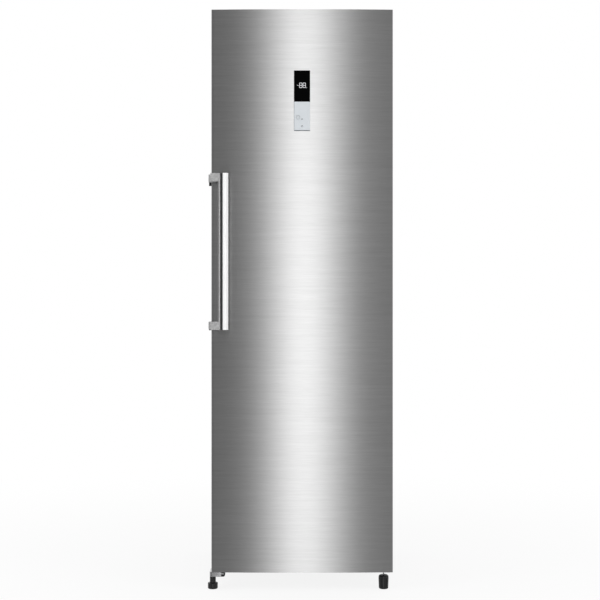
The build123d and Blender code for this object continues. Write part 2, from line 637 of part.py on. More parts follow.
with BuildPart() as handle_arms:
    for arm_z in ARM_LEVELS:
        with BuildSketch(Plane.XY.offset(arm_z)) as arm_outline:
            with BuildLine():
                Polyline(
                    (-HALF, ARM_FRONT),
                    (ARM_RIGHT, ARM_FRONT),
                    (ARM_RIGHT, TONGUE_Y),
                    (BAR_LEFT + BAR_WIDTH - TONGUE_INSET, TONGUE_Y),
                    (BAR_LEFT + BAR_WIDTH - TONGUE_INSET, TONGUE_Y + TONGUE),
                    (ARM_RIGHT - ARM_SHOULDER[0], TONGUE_Y + TONGUE + ARM_SHOULDER[1]),
                    (PIVOT_X + ARM_R, PIVOT_Y),
                    (PIVOT_X - ARM_R, PIVOT_Y),
                    (-HALF, PIVOT_Y - ARM_STEP),
                    close=True,
                )
            make_face()
            fillet(arm_outline.vertices().sort_by(Axis.Y)[0:2], ARM_EDGE)
            with Locations((PIVOT_X, PIVOT_Y)):
                Circle(ARM_R)
        extrude(amount=ARM_HEIGHT)
        # nose that presses on the pusher
        nose_end = PUSHER_FRONT - NOSE_CLEARANCE
        with BuildSketch(Plane.XY.offset(arm_z + NOSE_TRIM)):
            with BuildLine():
                Polyline(
                    (-HALF + NOSE_TRIM, PIVOT_Y - NOSE_FRONT),
                    (-HALF, PIVOT_Y - NOSE_FRONT),
                    (PUSHER_X - NOSE_TIP[0], PIVOT_Y - NOSE_SHOULDER),
                    (PUSHER_X - NOSE_TIP[0], nose_end - NOSE_TIP[1]),
                    (PUSHER_X, nose_end),
                    (-HALF + NOSE_TRIM, nose_end),
                    close=True,
                )
            make_face()
        extrude(amount=ARM_HEIGHT - 2 * NOSE_TRIM)
        # slot between the cheeks for the mount's knuckle
        with BuildSketch(Plane.XY.offset(arm_z + ARM_CHEEK)):
            slot_left = PIVOT_X - KNUCKLE_R - KNUCKLE_FREE[0]
            slot_width = 2 * KNUCKLE_R + CHEEK_SLOT[0]
            with Locations((slot_left, PIVOT_Y - KNUCKLE_R - KNUCKLE_FREE[1])):
                Rectangle(slot_width, CHEEK_SLOT[1], align=(Align.MIN, Align.MIN))
        extrude(amount=ARM_HEIGHT - 2 * ARM_CHEEK, mode=Mode.SUBTRACT)
        with BuildSketch(Plane.XY.offset(arm_z)):
            with Locations((PIVOT_X, PIVOT_Y)):
                Circle(PIVOT_R + RUNNING)
        extrude(amount=ARM_HEIGHT, mode=Mode.SUBTRACT)
save(handle_arms, "handle_arms")

MOUNT_LEFT = -HALF + EDGE_R + 0.5  # clear of the door's rounded edge
MOUNT_RIGHT = ARM_RIGHT - 2  # just inside the arm's right side

with BuildPart() as handle_mounts:
    for arm_z in ARM_LEVELS:
        # foot plate on the door's crowned face
        with BuildSketch(Plane.XY.offset(arm_z + MOUNT_TRIM)):
            with BuildLine():
                Polyline(
                    (MOUNT_LEFT, face_y(MOUNT_LEFT) - MOUNT_GAP),
                    (MOUNT_LEFT, face_y(MOUNT_LEFT) - MOUNT_PLATE),
                    (MOUNT_RIGHT, face_y(MOUNT_LEFT) - MOUNT_PLATE),
                    (MOUNT_RIGHT, face_y(MOUNT_RIGHT) - MOUNT_GAP),
                    close=True,
                )
            make_face()
        extrude(amount=ARM_HEIGHT - 2 * MOUNT_TRIM)
        # knuckle between the arm's cheeks
        with BuildSketch(Plane.XY.offset(arm_z + ARM_CHEEK + SLIP)):
            with Locations((PIVOT_X, PIVOT_Y)):
                Circle(KNUCKLE_R)
                Rectangle(KNUCKLE_STEM, KNUCKLE_REACH, align=(Align.CENTER, Align.MIN))
            with Locations((PIVOT_X, PIVOT_Y)):
                Circle(PIVOT_R + RUNNING, mode=Mode.SUBTRACT)
        extrude(amount=ARM_HEIGHT - 2 * ARM_CHEEK - 2 * SLIP)
save(handle_mounts, "handle_mounts")

with BuildPart() as handle_pivots:
    for arm_z in ARM_LEVELS:
        with BuildSketch(Plane.XY.offset(arm_z + PIVOT_TRIM)):
            with Locations((PIVOT_X, PIVOT_Y)):
                Circle(PIVOT_R)
        extrude(amount=ARM_HEIGHT - 2 * PIVOT_TRIM)
save(handle_pivots, "handle_pivots")

with BuildPart() as handle_pushers:
    for arm_z in ARM_LEVELS:
        with BuildSketch(Plane.XY.offset(arm_z + PUSHER_TRIM)):
            with BuildLine():
                Polyline(
                    (-HALF - PUSHER_OUT, PUSHER_FRONT),
                    (-HALF - PUSHER_IN, PUSHER_FRONT),
                    (-HALF - PUSHER_IN, PUSHER_END - PUSHER_HOOK),
                    (-HALF + PUSHER_HOOK_END, PUSHER_END - PUSHER_HOOK),
                    (-HALF + PUSHER_HOOK_END, PUSHER_END),
                    (-HALF - PUSHER_OUT, PUSHER_END),
                    close=True,
                )
            make_face()
            with Locations((PUSHER_X, GUIDE_Y - PUSHER_STROKE / 2)):
                SlotOverall(
                    PUSHER_STROKE + 2 * GUIDE_PIN_R + GUIDE_SLOT[0],
                    2 * GUIDE_PIN_R + GUIDE_SLOT[1],
                    rotation=90,
                    mode=Mode.SUBTRACT,
                )
        extrude(amount=ARM_HEIGHT - 2 * PUSHER_TRIM)
save(handle_pushers, "handle_pushers")

with BuildPart() as pusher_guides:
    for arm_z, guide_drop in zip(ARM_LEVELS, GUIDE_DROPS):
        with BuildSketch(Plane.XY.offset(arm_z - guide_drop)):
            with Locations((PUSHER_X, GUIDE_Y)):
                Circle(GUIDE_R)
                Rectangle(-HALF - PUSHER_X, GUIDE_R * 2, align=(Align.MIN, Align.CENTER))
        extrude(amount=guide_drop + PUSHER_TRIM - SLIP)
        with BuildSketch(Plane.XY.offset(arm_z)):
            with Locations((PUSHER_X, GUIDE_Y)):
                Circle(GUIDE_PIN_R)
        extrude(amount=ARM_HEIGHT - PUSHER_TRIM)
save(pusher_guides, "pusher_guides")

# ====================================================================== feet and rollers
FOOT_X = -HALF + 3  # the left foot stands out past the side
HINGE_FOOT_X = HALF - 28
FOOT_Y = DOOR_EDGE_Y + 32
FOOT_R = 16.5
FOOT_BASE = 20.0
FOOT_EDGE = 3.5
FOOT_SIDES = 24
FOOT_POST_R = 10.0
BRACKET_LOW = 37.0
BRACKET_PLATE = 3.0
BRACKET_TOP = DOOR_BOTTOM - 4
BRACKET_WALL = 2.0
BRACKET_LEFT = -HALF - 8
BRACKET_RIGHT = -HALF + 31.5
BRACKET_FRONT = FOOT_Y - 22
BRACKET_CORNER = 8.0
BRACKET_LEG_INSET = 2.0  # from the cabinet's side
BRACKET_LEG_EXTRA = 10.0  # the leg is this much wider than the shoe inside the cabinet's side
CAP_LENGTH = 13.0
CAP_DEPTH = 22.0
CAP_TOP = BRACKET_TOP - BRACKET_PLATE
CAP_CORNER = 6.0
CAP_SLOT = (8.5, 3.0)
STUD_R = 4.0
TALL_FOOT_R = 16.75
TALL_FOOT_HEIGHT = 46.0
TALL_FOOT_RIBS = 8
RIB_SIZE = (5.0, 3.4)
RIB_LOW = 5.0  # lower end of the finger grooves
RIB_TRIM = 14.0  # how much shorter than the grip they are
ROLLER_R = 22.0
ROLLER_WIDTH = 18.0
ROLLER_X = HALF - 55
ROLLER_Y = BACK_Y - 32
AXLE_R = 4.0
FORK_WALL = 2.0
FORK_GAP = ROLLER_WIDTH + 2
FORK_FOOT = 18.0  # half the ear's width at the plate
FORK_TIP = 8.0  # half its width at the tip, and the tip's way below the axle
BAY_PLATE = 2.0

with BuildPart() as foot_left:
    # chamfered disc, post and the stud that screws into the bracket
    with BuildSketch():
        with Locations((FOOT_X, FOOT_Y)):
            RegularPolygon(FOOT_R, FOOT_SIDES)
    extrude(amount=FOOT_BASE)
    chamfer(foot_left.faces().sort_by(Axis.Z)[0].edges(), FOOT_EDGE)
    with BuildSketch(Plane.XY.offset(FOOT_BASE)):
        with Locations((FOOT_X, FOOT_Y)):
            RegularPolygon(FOOT_POST_R, FOOT_SIDES)
    extrude(amount=BRACKET_LOW - SLIP - FOOT_BASE)
    with BuildSketch(Plane.XY.offset(BRACKET_LOW - SLIP)):
        with Locations((FOOT_X, FOOT_Y)):
            Circle(STUD_R)
    extrude(amount=BRACKET_TOP - BRACKET_PLATE - BRACKET_LOW)
save(foot_left, "foot_left")

with BuildPart() as foot_right:
    with BuildSketch():
        with Locations((HINGE_FOOT_X, FOOT_Y)):
            RegularPolygon(TALL_FOOT_R, FOOT_SIDES)
    extrude(amount=TALL_FOOT_HEIGHT)
    chamfer(foot_right.faces().sort_by(Axis.Z)[0].edges(), FOOT_EDGE)
    chamfer(foot_right.faces().sort_by(Axis.Z)[-1].edges(), 2 * FOOT_EDGE)
    with BuildSketch(Plane.XY.offset(TALL_FOOT_HEIGHT)):
        with Locations((HINGE_FOOT_X, FOOT_Y)):
            Circle(STUD_R)
    extrude(amount=LOWER_PLATE_TOP - HINGE_PLATE - SLIP - TALL_FOOT_HEIGHT)
    # finger grooves round the grip
    with BuildSketch(Plane.XY.offset(RIB_LOW)):
        with Locations((HINGE_FOOT_X, FOOT_Y)):
            with PolarLocations(TALL_FOOT_R + 1, TALL_FOOT_RIBS):
                Rectangle(*RIB_SIZE)
    extrude(amount=TALL_FOOT_HEIGHT - RIB_TRIM, mode=Mode.SUBTRACT)
save(foot_right, "foot_right")

with BuildPart() as foot_bracket:
    # pressed shoe, open below and behind
    with BuildSketch(Plane.XY.offset(BRACKET_LOW)) as shoe_outline:
        with Locations((BRACKET_LEFT, BRACKET_FRONT)):
            Rectangle(
                BRACKET_RIGHT - BRACKET_LEFT,
                FRONT_Y - BRACKET_FRONT,
                align=(Align.MIN, Align.MIN),
            )
        fillet(shoe_outline.vertices().sort_by(Axis.X)[0:2].sort_by(Axis.Y)[0], BRACKET_CORNER)
    extrude(amount=BRACKET_TOP - BRACKET_LOW)
    with BuildSketch(Plane.XY.offset(BRACKET_LOW)) as shoe_hollow:
        with Locations((BRACKET_LEFT + BRACKET_WALL, BRACKET_FRONT + BRACKET_WALL)):
            Rectangle(
                BRACKET_RIGHT - BRACKET_LEFT - 2 * BRACKET_WALL,
                FRONT_Y - BRACKET_FRONT,
                align=(Align.MIN, Align.MIN),
            )
        inner_corner = shoe_hollow.vertices().sort_by(Axis.X)[0:2].sort_by(Axis.Y)[0]
        fillet(inner_corner, BRACKET_CORNER - BRACKET_WALL)
    extrude(amount=BRACKET_TOP - BRACKET_LOW - BRACKET_PLATE, mode=Mode.SUBTRACT)
    # tongue that carries the end cap
    with BuildSketch(Plane.XY.offset(BRACKET_TOP - BRACKET_PLATE)):
        with Locations((BRACKET_RIGHT, BRACKET_FRONT)):
            Rectangle(CAP_LENGTH, CAP_DEPTH, align=(Align.MIN, Align.MIN))
    extrude(amount=BRACKET_PLATE)
    # leg on the cabinet's front rail
    with BuildSketch(Plane.XZ.offset(-FRONT_Y)):
        with Locations((-HALF + BRACKET_LEG_INSET, BRACKET_TOP - BRACKET_PLATE)):
            Rectangle(
                BRACKET_RIGHT + HALF + BRACKET_LEG_EXTRA,
                LOWER_LEG_TOP - BRACKET_TOP + BRACKET_PLATE,
                align=(Align.MIN, Align.MIN),
            )
    extrude(amount=HINGE_PLATE)
save(foot_bracket, "foot_bracket")

with BuildPart() as bracket_cap:
    with BuildSketch(Plane.XZ.offset(-BRACKET_FRONT)) as cap_outline:
        with Locations((BRACKET_RIGHT, BRACKET_LOW)):
            Rectangle(CAP_LENGTH, CAP_TOP - BRACKET_LOW, align=(Align.MIN, Align.MIN))
        fillet(cap_outline.vertices().group_by(Axis.X)[-1], CAP_CORNER)
        with Locations((BRACKET_RIGHT + CAP_LENGTH / 2 - 1, (CAP_TOP + BRACKET_LOW) / 2)):
            SlotOverall(*CAP_SLOT, mode=Mode.SUBTRACT)
    extrude(amount=-CAP_DEPTH)
save(bracket_cap, "bracket_cap")

with BuildPart() as compressor_plate:
    with BuildSketch(Plane.XY.offset(CABINET_BOTTOM)):
        with Locations((0, (BAY_Y + BACK_Y) / 2)):
            Rectangle(WIDTH - 2 * SHEET, BAY_DEPTH)
    extrude(amount=BAY_PLATE)
    # the roller forks are pressed down out of the plate
    for side in (-1, 1):
        for ear in (-1, 1):
            ear_x = side * ROLLER_X + ear * (FORK_GAP + FORK_WALL) / 2
            with BuildSketch(Plane.YZ.offset(ear_x)):
                with BuildLine():
                    Polyline(
                        (ROLLER_Y - FORK_FOOT, CABINET_BOTTOM),
                        (ROLLER_Y - FORK_TIP, ROLLER_R - FORK_TIP),
                        (ROLLER_Y + FORK_TIP, ROLLER_R - FORK_TIP),
                        (ROLLER_Y + FORK_FOOT, CABINET_BOTTOM),
                        close=True,
                    )
                make_face()
            extrude(amount=FORK_WALL / 2, both=True)
save(compressor_plate, "compressor_plate")

with BuildPart() as roller_axles:
    # rods riveted flush between the fork's ears
    for side in (-1, 1):
        with BuildSketch(Plane.YZ.offset(side * ROLLER_X)):
            with Locations((ROLLER_Y, ROLLER_R)):
                Circle(AXLE_R)
        extrude(amount=FORK_GAP / 2, both=True)
save(roller_axles, "roller_axles")

for roller_name, side in (("roller_left", -1), ("roller_right", 1)):
    with BuildPart() as roller:
        with BuildSketch(Plane.YZ.offset(side * ROLLER_X)):
            with Locations((ROLLER_Y, ROLLER_R)):
                Circle(ROLLER_R)
                Circle(AXLE_R + RUNNING, mode=Mode.SUBTRACT)
        extrude(amount=ROLLER_WIDTH / 2, both=True)
    save(roller, roller_name)

# ====================================================================== compressor bay
BAY_FLOOR = CABINET_BOTTOM + BAY_PLATE
COMPRESSOR_X = HALF - 130
COMPRESSOR_Y = (BAY_Y + BACK_Y) / 2 + 4
COMPRESSOR_R = 72.0
COMPRESSOR_HEIGHT = BAY_HEIGHT - 88  # leaves room for its mounts and the drip tray
CAN_SIDES = 24
CAN_CROWN = 30.0
CAN_TAPER = 40.0  # degrees
MOUNT_HEIGHT = 16.0
MOUNT_R = 11.0
MOUNT_SIDES = 12
MOUNT_SPREAD = (150.0, 100.0)
COMPRESSOR_FOOT = 3.0
FOOT_MARGIN = 26.0  # the foot plate is this much wider than the mounts' spread
FOOT_CORNER = 10.0
COMPRESSOR_LOW = BAY_FLOOR + MOUNT_HEIGHT + COMPRESSOR_FOOT
TUBE_R = 4.0
TUBE_SIDES = 6

with BuildPart() as compressor_mounts:
    with BuildSketch(Plane.XY.offset(BAY_FLOOR)):
        with Locations((COMPRESSOR_X, COMPRESSOR_Y)):
            with GridLocations(*MOUNT_SPREAD, 2, 2):
                RegularPolygon(MOUNT_R, MOUNT_SIDES)
    extrude(amount=MOUNT_HEIGHT, taper=10)
save(compressor_mounts, "compressor_mounts")

with BuildPart() as compressor:
    # welded steel can with a turned-in crown
    with BuildSketch(Plane.XY.offset(COMPRESSOR_LOW)):
        with Locations((COMPRESSOR_X, COMPRESSOR_Y)):
            RegularPolygon(COMPRESSOR_R, CAN_SIDES)
    extrude(amount=COMPRESSOR_HEIGHT - CAN_CROWN)
    extrude(compressor.faces().sort_by(Axis.Z)[-1], amount=CAN_CROWN, taper=CAN_TAPER)
    with BuildSketch(Plane.XY.offset(COMPRESSOR_LOW - COMPRESSOR_FOOT)):
        with Locations((COMPRESSOR_X, COMPRESSOR_Y)):
            RectangleRounded(
                MOUNT_SPREAD[0] + FOOT_MARGIN,
                MOUNT_SPREAD[1] + FOOT_MARGIN,
                FOOT_CORNER,
            )
    extrude(amount=COMPRESSOR_FOOT)
save(compressor, "compressor")

RELAY_X = COMPRESSOR_X - COMPRESSOR_R
RELAY_SIZE = (38.0, 56.0, 62.0)
RELAY_RISE = 26.0  # above the can's lower end
RELAY_CORNER = 6.0

with BuildPart() as relay_cover:
    with BuildSketch(Plane.XY.offset(COMPRESSOR_LOW + RELAY_RISE)):
        with Locations((RELAY_X - SLIP, COMPRESSOR_Y)):
            Rectangle(RELAY_SIZE[0], RELAY_SIZE[1], align=(Align.MAX, Align.CENTER))
    extrude(amount=RELAY_SIZE[2])
    fillet(relay_cover.edges().filter_by(Axis.Z).group_by(Axis.X)[0], RELAY_CORNER)
save(relay_cover, "relay_cover")

TRAY_LOW = COMPRESSOR_LOW + COMPRESSOR_HEIGHT + SLIP
TRAY_WIDTH = 200.0
TRAY_DEPTH = 150.0
TRAY_HEIGHT = 30.0
TRAY_CORNER = 16.0
TRAY_X = COMPRESSOR_X - 10

with BuildPart() as drip_tray:
    with BuildSketch(Plane.XY.offset(TRAY_LOW)) as tray_outline:
        with Locations((TRAY_X, COMPRESSOR_Y)):
            Rectangle(TRAY_WIDTH, TRAY_DEPTH)
        chamfer(tray_outline.vertices(), TRAY_CORNER)
    extrude(amount=TRAY_HEIGHT)
    with BuildSketch(Plane.XY.offset(TRAY_LOW + LINER)) as tray_hollow:
        with Locations((TRAY_X, COMPRESSOR_Y)):
            Rectangle(TRAY_WIDTH - 2 * LINER, TRAY_DEPTH - 2 * LINER)
        chamfer(tray_hollow.vertices(), TRAY_CORNER - LINER / 2)
    extrude(amount=TRAY_HEIGHT, mode=Mode.SUBTRACT)
save(drip_tray, "drip_tray")

CONTROL_X = -HALF + 90
CONTROL_SIZE = (120.0, 150.0, 60.0)
CONTROL_CORNER = 5.0

with BuildPart() as control_box:
    with BuildSketch(Plane.XY.offset(BAY_FLOOR)):
        with Locations((CONTROL_X, COMPRESSOR_Y)):
            RectangleRounded(CONTROL_SIZE[0], CONTROL_SIZE[1], CONTROL_CORNER)
    extrude(amount=CONTROL_SIZE[2])
save(control_box, "control_box")

PIPE_BEND = 16.0
SUCTION_TOP = BAY_TOP - SLIP
DRIER_X = RELAY_X - 70
DRIER_R = 11.0
DRIER_LOW = BAY_FLOOR + SLIP
DRIER_LENGTH = 90.0
DRIER_NECK = 20.0  # tube below and above the drier
DRIER_Y = COMPRESSOR_Y - 40


def tube(points, radius):
    """A bent refrigerant tube along straight runs joined by round bends.

    Its section is a hexagon, to spare faces on a piece that hardly shows.
    """
    with BuildPart() as pipe:
        with BuildLine() as route:
            FilletPolyline(*points, radius=PIPE_BEND)
        with BuildSketch(Plane(origin=route.line @ 0, z_dir=route.line % 0)):
            RegularPolygon(radius, TUBE_SIDES)
        sweep()
    return pipe.part


TUBE_OFFSET = 20.0  # tubes leave the can this far from its middle
CAN_SIDE = COMPRESSOR_Y - sqrt(COMPRESSOR_R**2 - (TUBE_OFFSET - TUBE_R) ** 2) - SLIP
TUBE_Y = CAN_SIDE - 24
SUCTION_Z = COMPRESSOR_LOW + 60
SUCTION_X = COMPRESSOR_X + 95  # where the suction tube turns up
DISCHARGE_Z = COMPRESSOR_LOW + 40
DISCHARGE_X = DRIER_X - 30  # where the discharge tube turns up
DISCHARGE_R = 0.75 * TUBE_R

with BuildPart() as refrigerant_pipes:
    # suction and discharge tubes from the can up into the foam
    add(
        tube(
            [
                (COMPRESSOR_X + TUBE_OFFSET, CAN_SIDE, SUCTION_Z),
                (COMPRESSOR_X + TUBE_OFFSET, TUBE_Y, SUCTION_Z),
                (SUCTION_X, TUBE_Y, SUCTION_Z),
                (SUCTION_X, TUBE_Y, SUCTION_TOP),
            ],
            TUBE_R,
        )
    )
    add(
        tube(
            [
                (COMPRESSOR_X - TUBE_OFFSET, CAN_SIDE, DISCHARGE_Z),
                (COMPRESSOR_X - TUBE_OFFSET, TUBE_Y, DISCHARGE_Z),
                (DISCHARGE_X, TUBE_Y, DISCHARGE_Z),
                (DISCHARGE_X, TUBE_Y, SUCTION_TOP),
            ],
            DISCHARGE_R,
        )
    )
save(refrigerant_pipes, "refrigerant_pipes")

with BuildPart() as filter_drier:
    with BuildSketch(Plane.XY.offset(DRIER_LOW)):
        with Locations((DRIER_X, DRIER_Y)):
            RegularPolygon(TUBE_R, TUBE_SIDES)
    extrude(amount=DRIER_LENGTH + 2 * DRIER_NECK)
    with BuildSketch(Plane.XY.offset(DRIER_LOW + DRIER_NECK)):
        with Locations((DRIER_X, DRIER_Y)):
            Circle(DRIER_R)
    extrude(amount=DRIER_LENGTH)
save(filter_drier, "filter_drier")

LOUVRE_ROWS = 8
LOUVRE_PITCH = 18.0
LOUVRE_GAP = 36.0
LOUVRE_LENGTH = (WIDTH - 4 * LOUVRE_GAP) / 3
LOUVRE_HEIGHT = 7.0

with BuildPart() as machine_cover:
    with BuildSketch(Plane.XZ.offset(-BACK_Y + SHEET)):
        with Locations((0, BAY_FLOOR)):
            Rectangle(WIDTH - 2 * SHEET, BAY_TOP - BAY_FLOOR, align=(Align.CENTER, Align.MIN))
        with Locations((0, (BAY_FLOOR + BAY_TOP) / 2)):
            with GridLocations(LOUVRE_LENGTH + LOUVRE_GAP, LOUVRE_PITCH, 3, LOUVRE_ROWS):
                Rectangle(LOUVRE_LENGTH, LOUVRE_HEIGHT, mode=Mode.SUBTRACT)
    extrude(amount=-SHEET)
save(machine_cover, "machine_cover")

INLET_X = -HALF + 70
INLET_Z = BAY_TOP + 40
INLET_SIZE = (50.0, 30.0)
INLET_CORNER = 3.0
INLET_DEPTH = 6.0
INLET_HOLE = (26.0, 18.0)
INLET_HOLE_DEPTH = 4.5

with BuildPart() as mains_inlet:
    # appliance socket for a detachable lead, on the back panel
    with BuildSketch(Plane.XZ.offset(-BACK_Y)):
        with Locations((INLET_X, INLET_Z)):
            RectangleRounded(*INLET_SIZE, INLET_CORNER)
    extrude(amount=-INLET_DEPTH)
    with BuildSketch(Plane.XZ.offset(-BACK_Y - INLET_DEPTH)):
        with Locations((INLET_X, INLET_Z)):
            Rectangle(*INLET_HOLE)
    extrude(amount=INLET_HOLE_DEPTH, mode=Mode.SUBTRACT)
save(mains_inlet, "mains_inlet")

SPACER_DEPTH = 8.0
SPACER_X = HALF - 70
SPACER_Z = CABINET_TOP - 90
SPACER_SIZE = (34.0, 50.0)
SPACER_CORNER = 6.0

with BuildPart() as wall_spacers:
    with BuildSketch(Plane.XZ.offset(-BACK_Y)):
        with Locations((-SPACER_X, SPACER_Z), (SPACER_X, SPACER_Z)):
            RectangleRounded(*SPACER_SIZE, SPACER_CORNER)
    extrude(amount=-SPACER_DEPTH)
save(wall_spacers, "wall_spacers")

# ====================================================================== cold-air system
DUCT_WALL = 2.5
DUCT_SLOT_X = CAVITY_HALF / 2  # middles of the air slots, left and right
OUTLET_SIZE = (0.46 * CAVITY_HALF, 14.0)
OUTLET_DROP = 45.0  # below the shelf above
RETURN_SIZE = (0.63 * CAVITY_HALF, 16.0)
RETURN_RISE = 20.0  # above the step
EVAPORATOR_Z = STEP_Z + 40
EVAPORATOR_SIZE = (2 * CAVITY_HALF - 71, 50.0, 170.0)
FIN_COUNT = 7
FIN = 1.2
COIL_R = 5.0
COIL_SIDES = 6
COIL_ROWS = 4
COIL_PITCH = 40.0
COIL_END = 10.0  # the coil's way out of the fins at each end
HEATER_R = 5.0
HEATER_DROP = 6.0  # below the fins
CLIP_SIZE = (24.0, 36.0)
CLIP = 8.0
FAN_Z = EVAPORATOR_Z + EVAPORATOR_SIZE[2] + 110
FAN_R = 52.0
FAN_Y = DUCT_Y + DUCT_WALL + 14
MOTOR_R = 22.0
MOTOR_SIDES = 12
SHROUD_R = FAN_R + 4
SHROUD_WALL = 2.5
SHROUD_SIDES = 24
SHROUD_PLATE = 140.0
SHROUD_DEPTH = 29.0
SPIDER = 3.0
SPIDER_BAR = 8.0
SPIDER_Y = DUCT_Y + DUCT_WALL + SHROUD_DEPTH - SPIDER

with BuildPart() as air_duct_cover:
    with BuildSketch(Plane.XZ.offset(-DUCT_Y)):
        with Locations((0, STEP_Z)):
            Rectangle(
                2 * CAVITY_HALF - 1,
                CAVITY_TOP - STEP_Z - SLIP,
                align=(Align.CENTER, Align.MIN),
            )
        with Locations((0, FAN_Z)):
            Circle(FAN_R + 2, mode=Mode.SUBTRACT)
        # outlet slots at each drawer and return slots at the foot
        for side in (-1, 1):
            for shelf_z in SHELVES[3 : DRAWER_COUNT + FLAP_COUNT]:
                with Locations((side * DUCT_SLOT_X, shelf_z - OUTLET_DROP)):
                    Rectangle(*OUTLET_SIZE, mode=Mode.SUBTRACT)
            with Locations((side * DUCT_SLOT_X, STEP_Z + RETURN_RISE)):
                Rectangle(*RETURN_SIZE, mode=Mode.SUBTRACT)
    extrude(amount=-DUCT_WALL)
save(air_duct_cover, "air_duct_cover")

EVAPORATOR_Y = CAVITY_BACK - SLIP - EVAPORATOR_SIZE[1] / 2

with BuildPart() as evaporator:
    for fin in range(FIN_COUNT):
        fin_x = -EVAPORATOR_SIZE[0] / 2 + fin * (EVAPORATOR_SIZE[0] - FIN) / (FIN_COUNT - 1)
        with BuildSketch(Plane.YZ.offset(fin_x)):
            with Locations((EVAPORATOR_Y, EVAPORATOR_Z + EVAPORATOR_SIZE[2] / 2)):
                Rectangle(EVAPORATOR_SIZE[1], EVAPORATOR_SIZE[2])
        extrude(amount=FIN)
    with BuildSketch(Plane.YZ.offset(-EVAPORATOR_SIZE[0] / 2 - COIL_END)):
        with Locations((EVAPORATOR_Y, EVAPORATOR_Z + EVAPORATOR_SIZE[2] / 2)):
            with GridLocations(0, COIL_PITCH, 1, COIL_ROWS):
                RegularPolygon(COIL_R, COIL_SIDES)
    extrude(amount=EVAPORATOR_SIZE[0] + 2 * COIL_END)
save(evaporator, "evaporator")

with BuildPart() as defrost_heater:
    with BuildSketch(Plane.YZ.offset(-EVAPORATOR_SIZE[0] / 2)):
        with Locations((EVAPORATOR_Y, EVAPORATOR_Z - HEATER_DROP)):
            Circle(HEATER_R)
    extrude(amount=EVAPORATOR_SIZE[0])
    for end in (-1, 1):
        with BuildSketch(Plane.YZ.offset(end * EVAPORATOR_SIZE[0] / 2)):
            with Locations((EVAPORATOR_Y, EVAPORATOR_Z - CLIP_SIZE[1] / 2)):
                Rectangle(CLIP_SIZE[0], CLIP_SIZE[1] - 2 * SLIP)
        extrude(amount=end * CLIP)
save(defrost_heater, "defrost_heater")

with BuildPart() as fan_shroud:
    with BuildSketch(Plane.XZ.offset(-DUCT_Y - DUCT_WALL)):
        with Locations((0, FAN_Z)):
            Rectangle(SHROUD_PLATE, SHROUD_PLATE)
    extrude(amount=-SHROUD_WALL)
    with BuildSketch(Plane.XZ.offset(-DUCT_Y - DUCT_WALL)):
        with Locations((0, FAN_Z)):
            RegularPolygon(SHROUD_R + SHROUD_WALL, SHROUD_SIDES)
    extrude(amount=-SHROUD_DEPTH)
    with BuildSketch(Plane.XZ.offset(-DUCT_Y - DUCT_WALL)):
        with Locations((0, FAN_Z)):
            RegularPolygon(SHROUD_R, SHROUD_SIDES)
    extrude(amount=-SHROUD_DEPTH, mode=Mode.SUBTRACT)
    # spider that holds the motor
    with BuildSketch(Plane.XZ.offset(-SPIDER_Y)):
        with Locations((0, FAN_Z)):
            Rectangle(2 * SHROUD_R + SHROUD_WALL, SPIDER_BAR)
            Rectangle(SPIDER_BAR, 2 * SHROUD_R + SHROUD_WALL)
            RegularPolygon(MOTOR_R, MOTOR_SIDES)
    extrude(amount=-SPIDER)
save(fan_shroud, "fan_shroud")

FAN_HUB_R = 16.0
FAN_HUB = 14.0
FAN_BLADES = 5
FAN_SHAFT_R = 2.5
BLADE_SIZE = (2.0, 26.0)
BLADE_TURN = 55  # degrees from the fan's axis
BLADE_ROOT = 3.0  # sunk into the hub

with BuildPart() as fan_motor:
    with BuildSketch(Plane.XZ.offset(-SPIDER_Y - SPIDER)):
        with Locations((0, FAN_Z)):
            RegularPolygon(MOTOR_R, MOTOR_SIDES)
    extrude(amount=-(CAVITY_BACK - SPIDER_Y - SPIDER - SLIP))
save(fan_motor, "fan_motor")

with BuildPart() as fan_blade:
    with BuildSketch(Plane.XZ.offset(-FAN_Y + FAN_HUB / 2)):
        with Locations((0, FAN_Z)):
            RegularPolygon(FAN_HUB_R, MOTOR_SIDES)
    extrude(amount=-FAN_HUB)
    with BuildSketch(Plane.XZ.offset(-FAN_Y - FAN_HUB / 2)):
        with Locations((0, FAN_Z)):
            RegularPolygon(FAN_SHAFT_R, MOTOR_SIDES)
    extrude(amount=-(SPIDER_Y - SLIP - FAN_Y - FAN_HUB / 2))
    for blade in range(FAN_BLADES):
        angle = radians(360 / FAN_BLADES * blade)
        radial = (cos(angle), 0, sin(angle))
        with BuildSketch(
            Plane(origin=(0, FAN_Y, FAN_Z), x_dir=(0, 1, 0), z_dir=radial).offset(
                FAN_HUB_R - BLADE_ROOT
            )
        ):
            Rectangle(*BLADE_SIZE, rotation=BLADE_TURN)
        extrude(amount=FAN_R - FAN_HUB_R)
save(fan_blade, "fan_blade")

LAMP_LENGTH = 120.0
LAMP_WIDTH = 24.0
LAMP_DEPTH = 7.0
LAMP_Y = FRONT_Y + 60

with BuildPart() as led_lamp:
    with BuildSketch(Plane.XY.offset(CAVITY_TOP)):
        with Locations((0, LAMP_Y)):
            RectangleRounded(LAMP_LENGTH, LAMP_WIDTH, LAMP_WIDTH / 4)
    extrude(amount=-LAMP_DEPTH)
save(led_lamp, "led_lamp")

# ====================================================================== shelves, drawers, flaps
with BuildPart() as glass_shelves:
    for shelf_z in SHELVES:
        with BuildSketch(Plane.XY.offset(shelf_z)):
            with Locations((0, SHELF_FRONT)):
                Rectangle(2 * CAVITY_HALF - 1, GLASS_DEPTH, align=(Align.CENTER, Align.MIN))
        extrude(amount=GLASS)
save(glass_shelves, "glass_shelves")

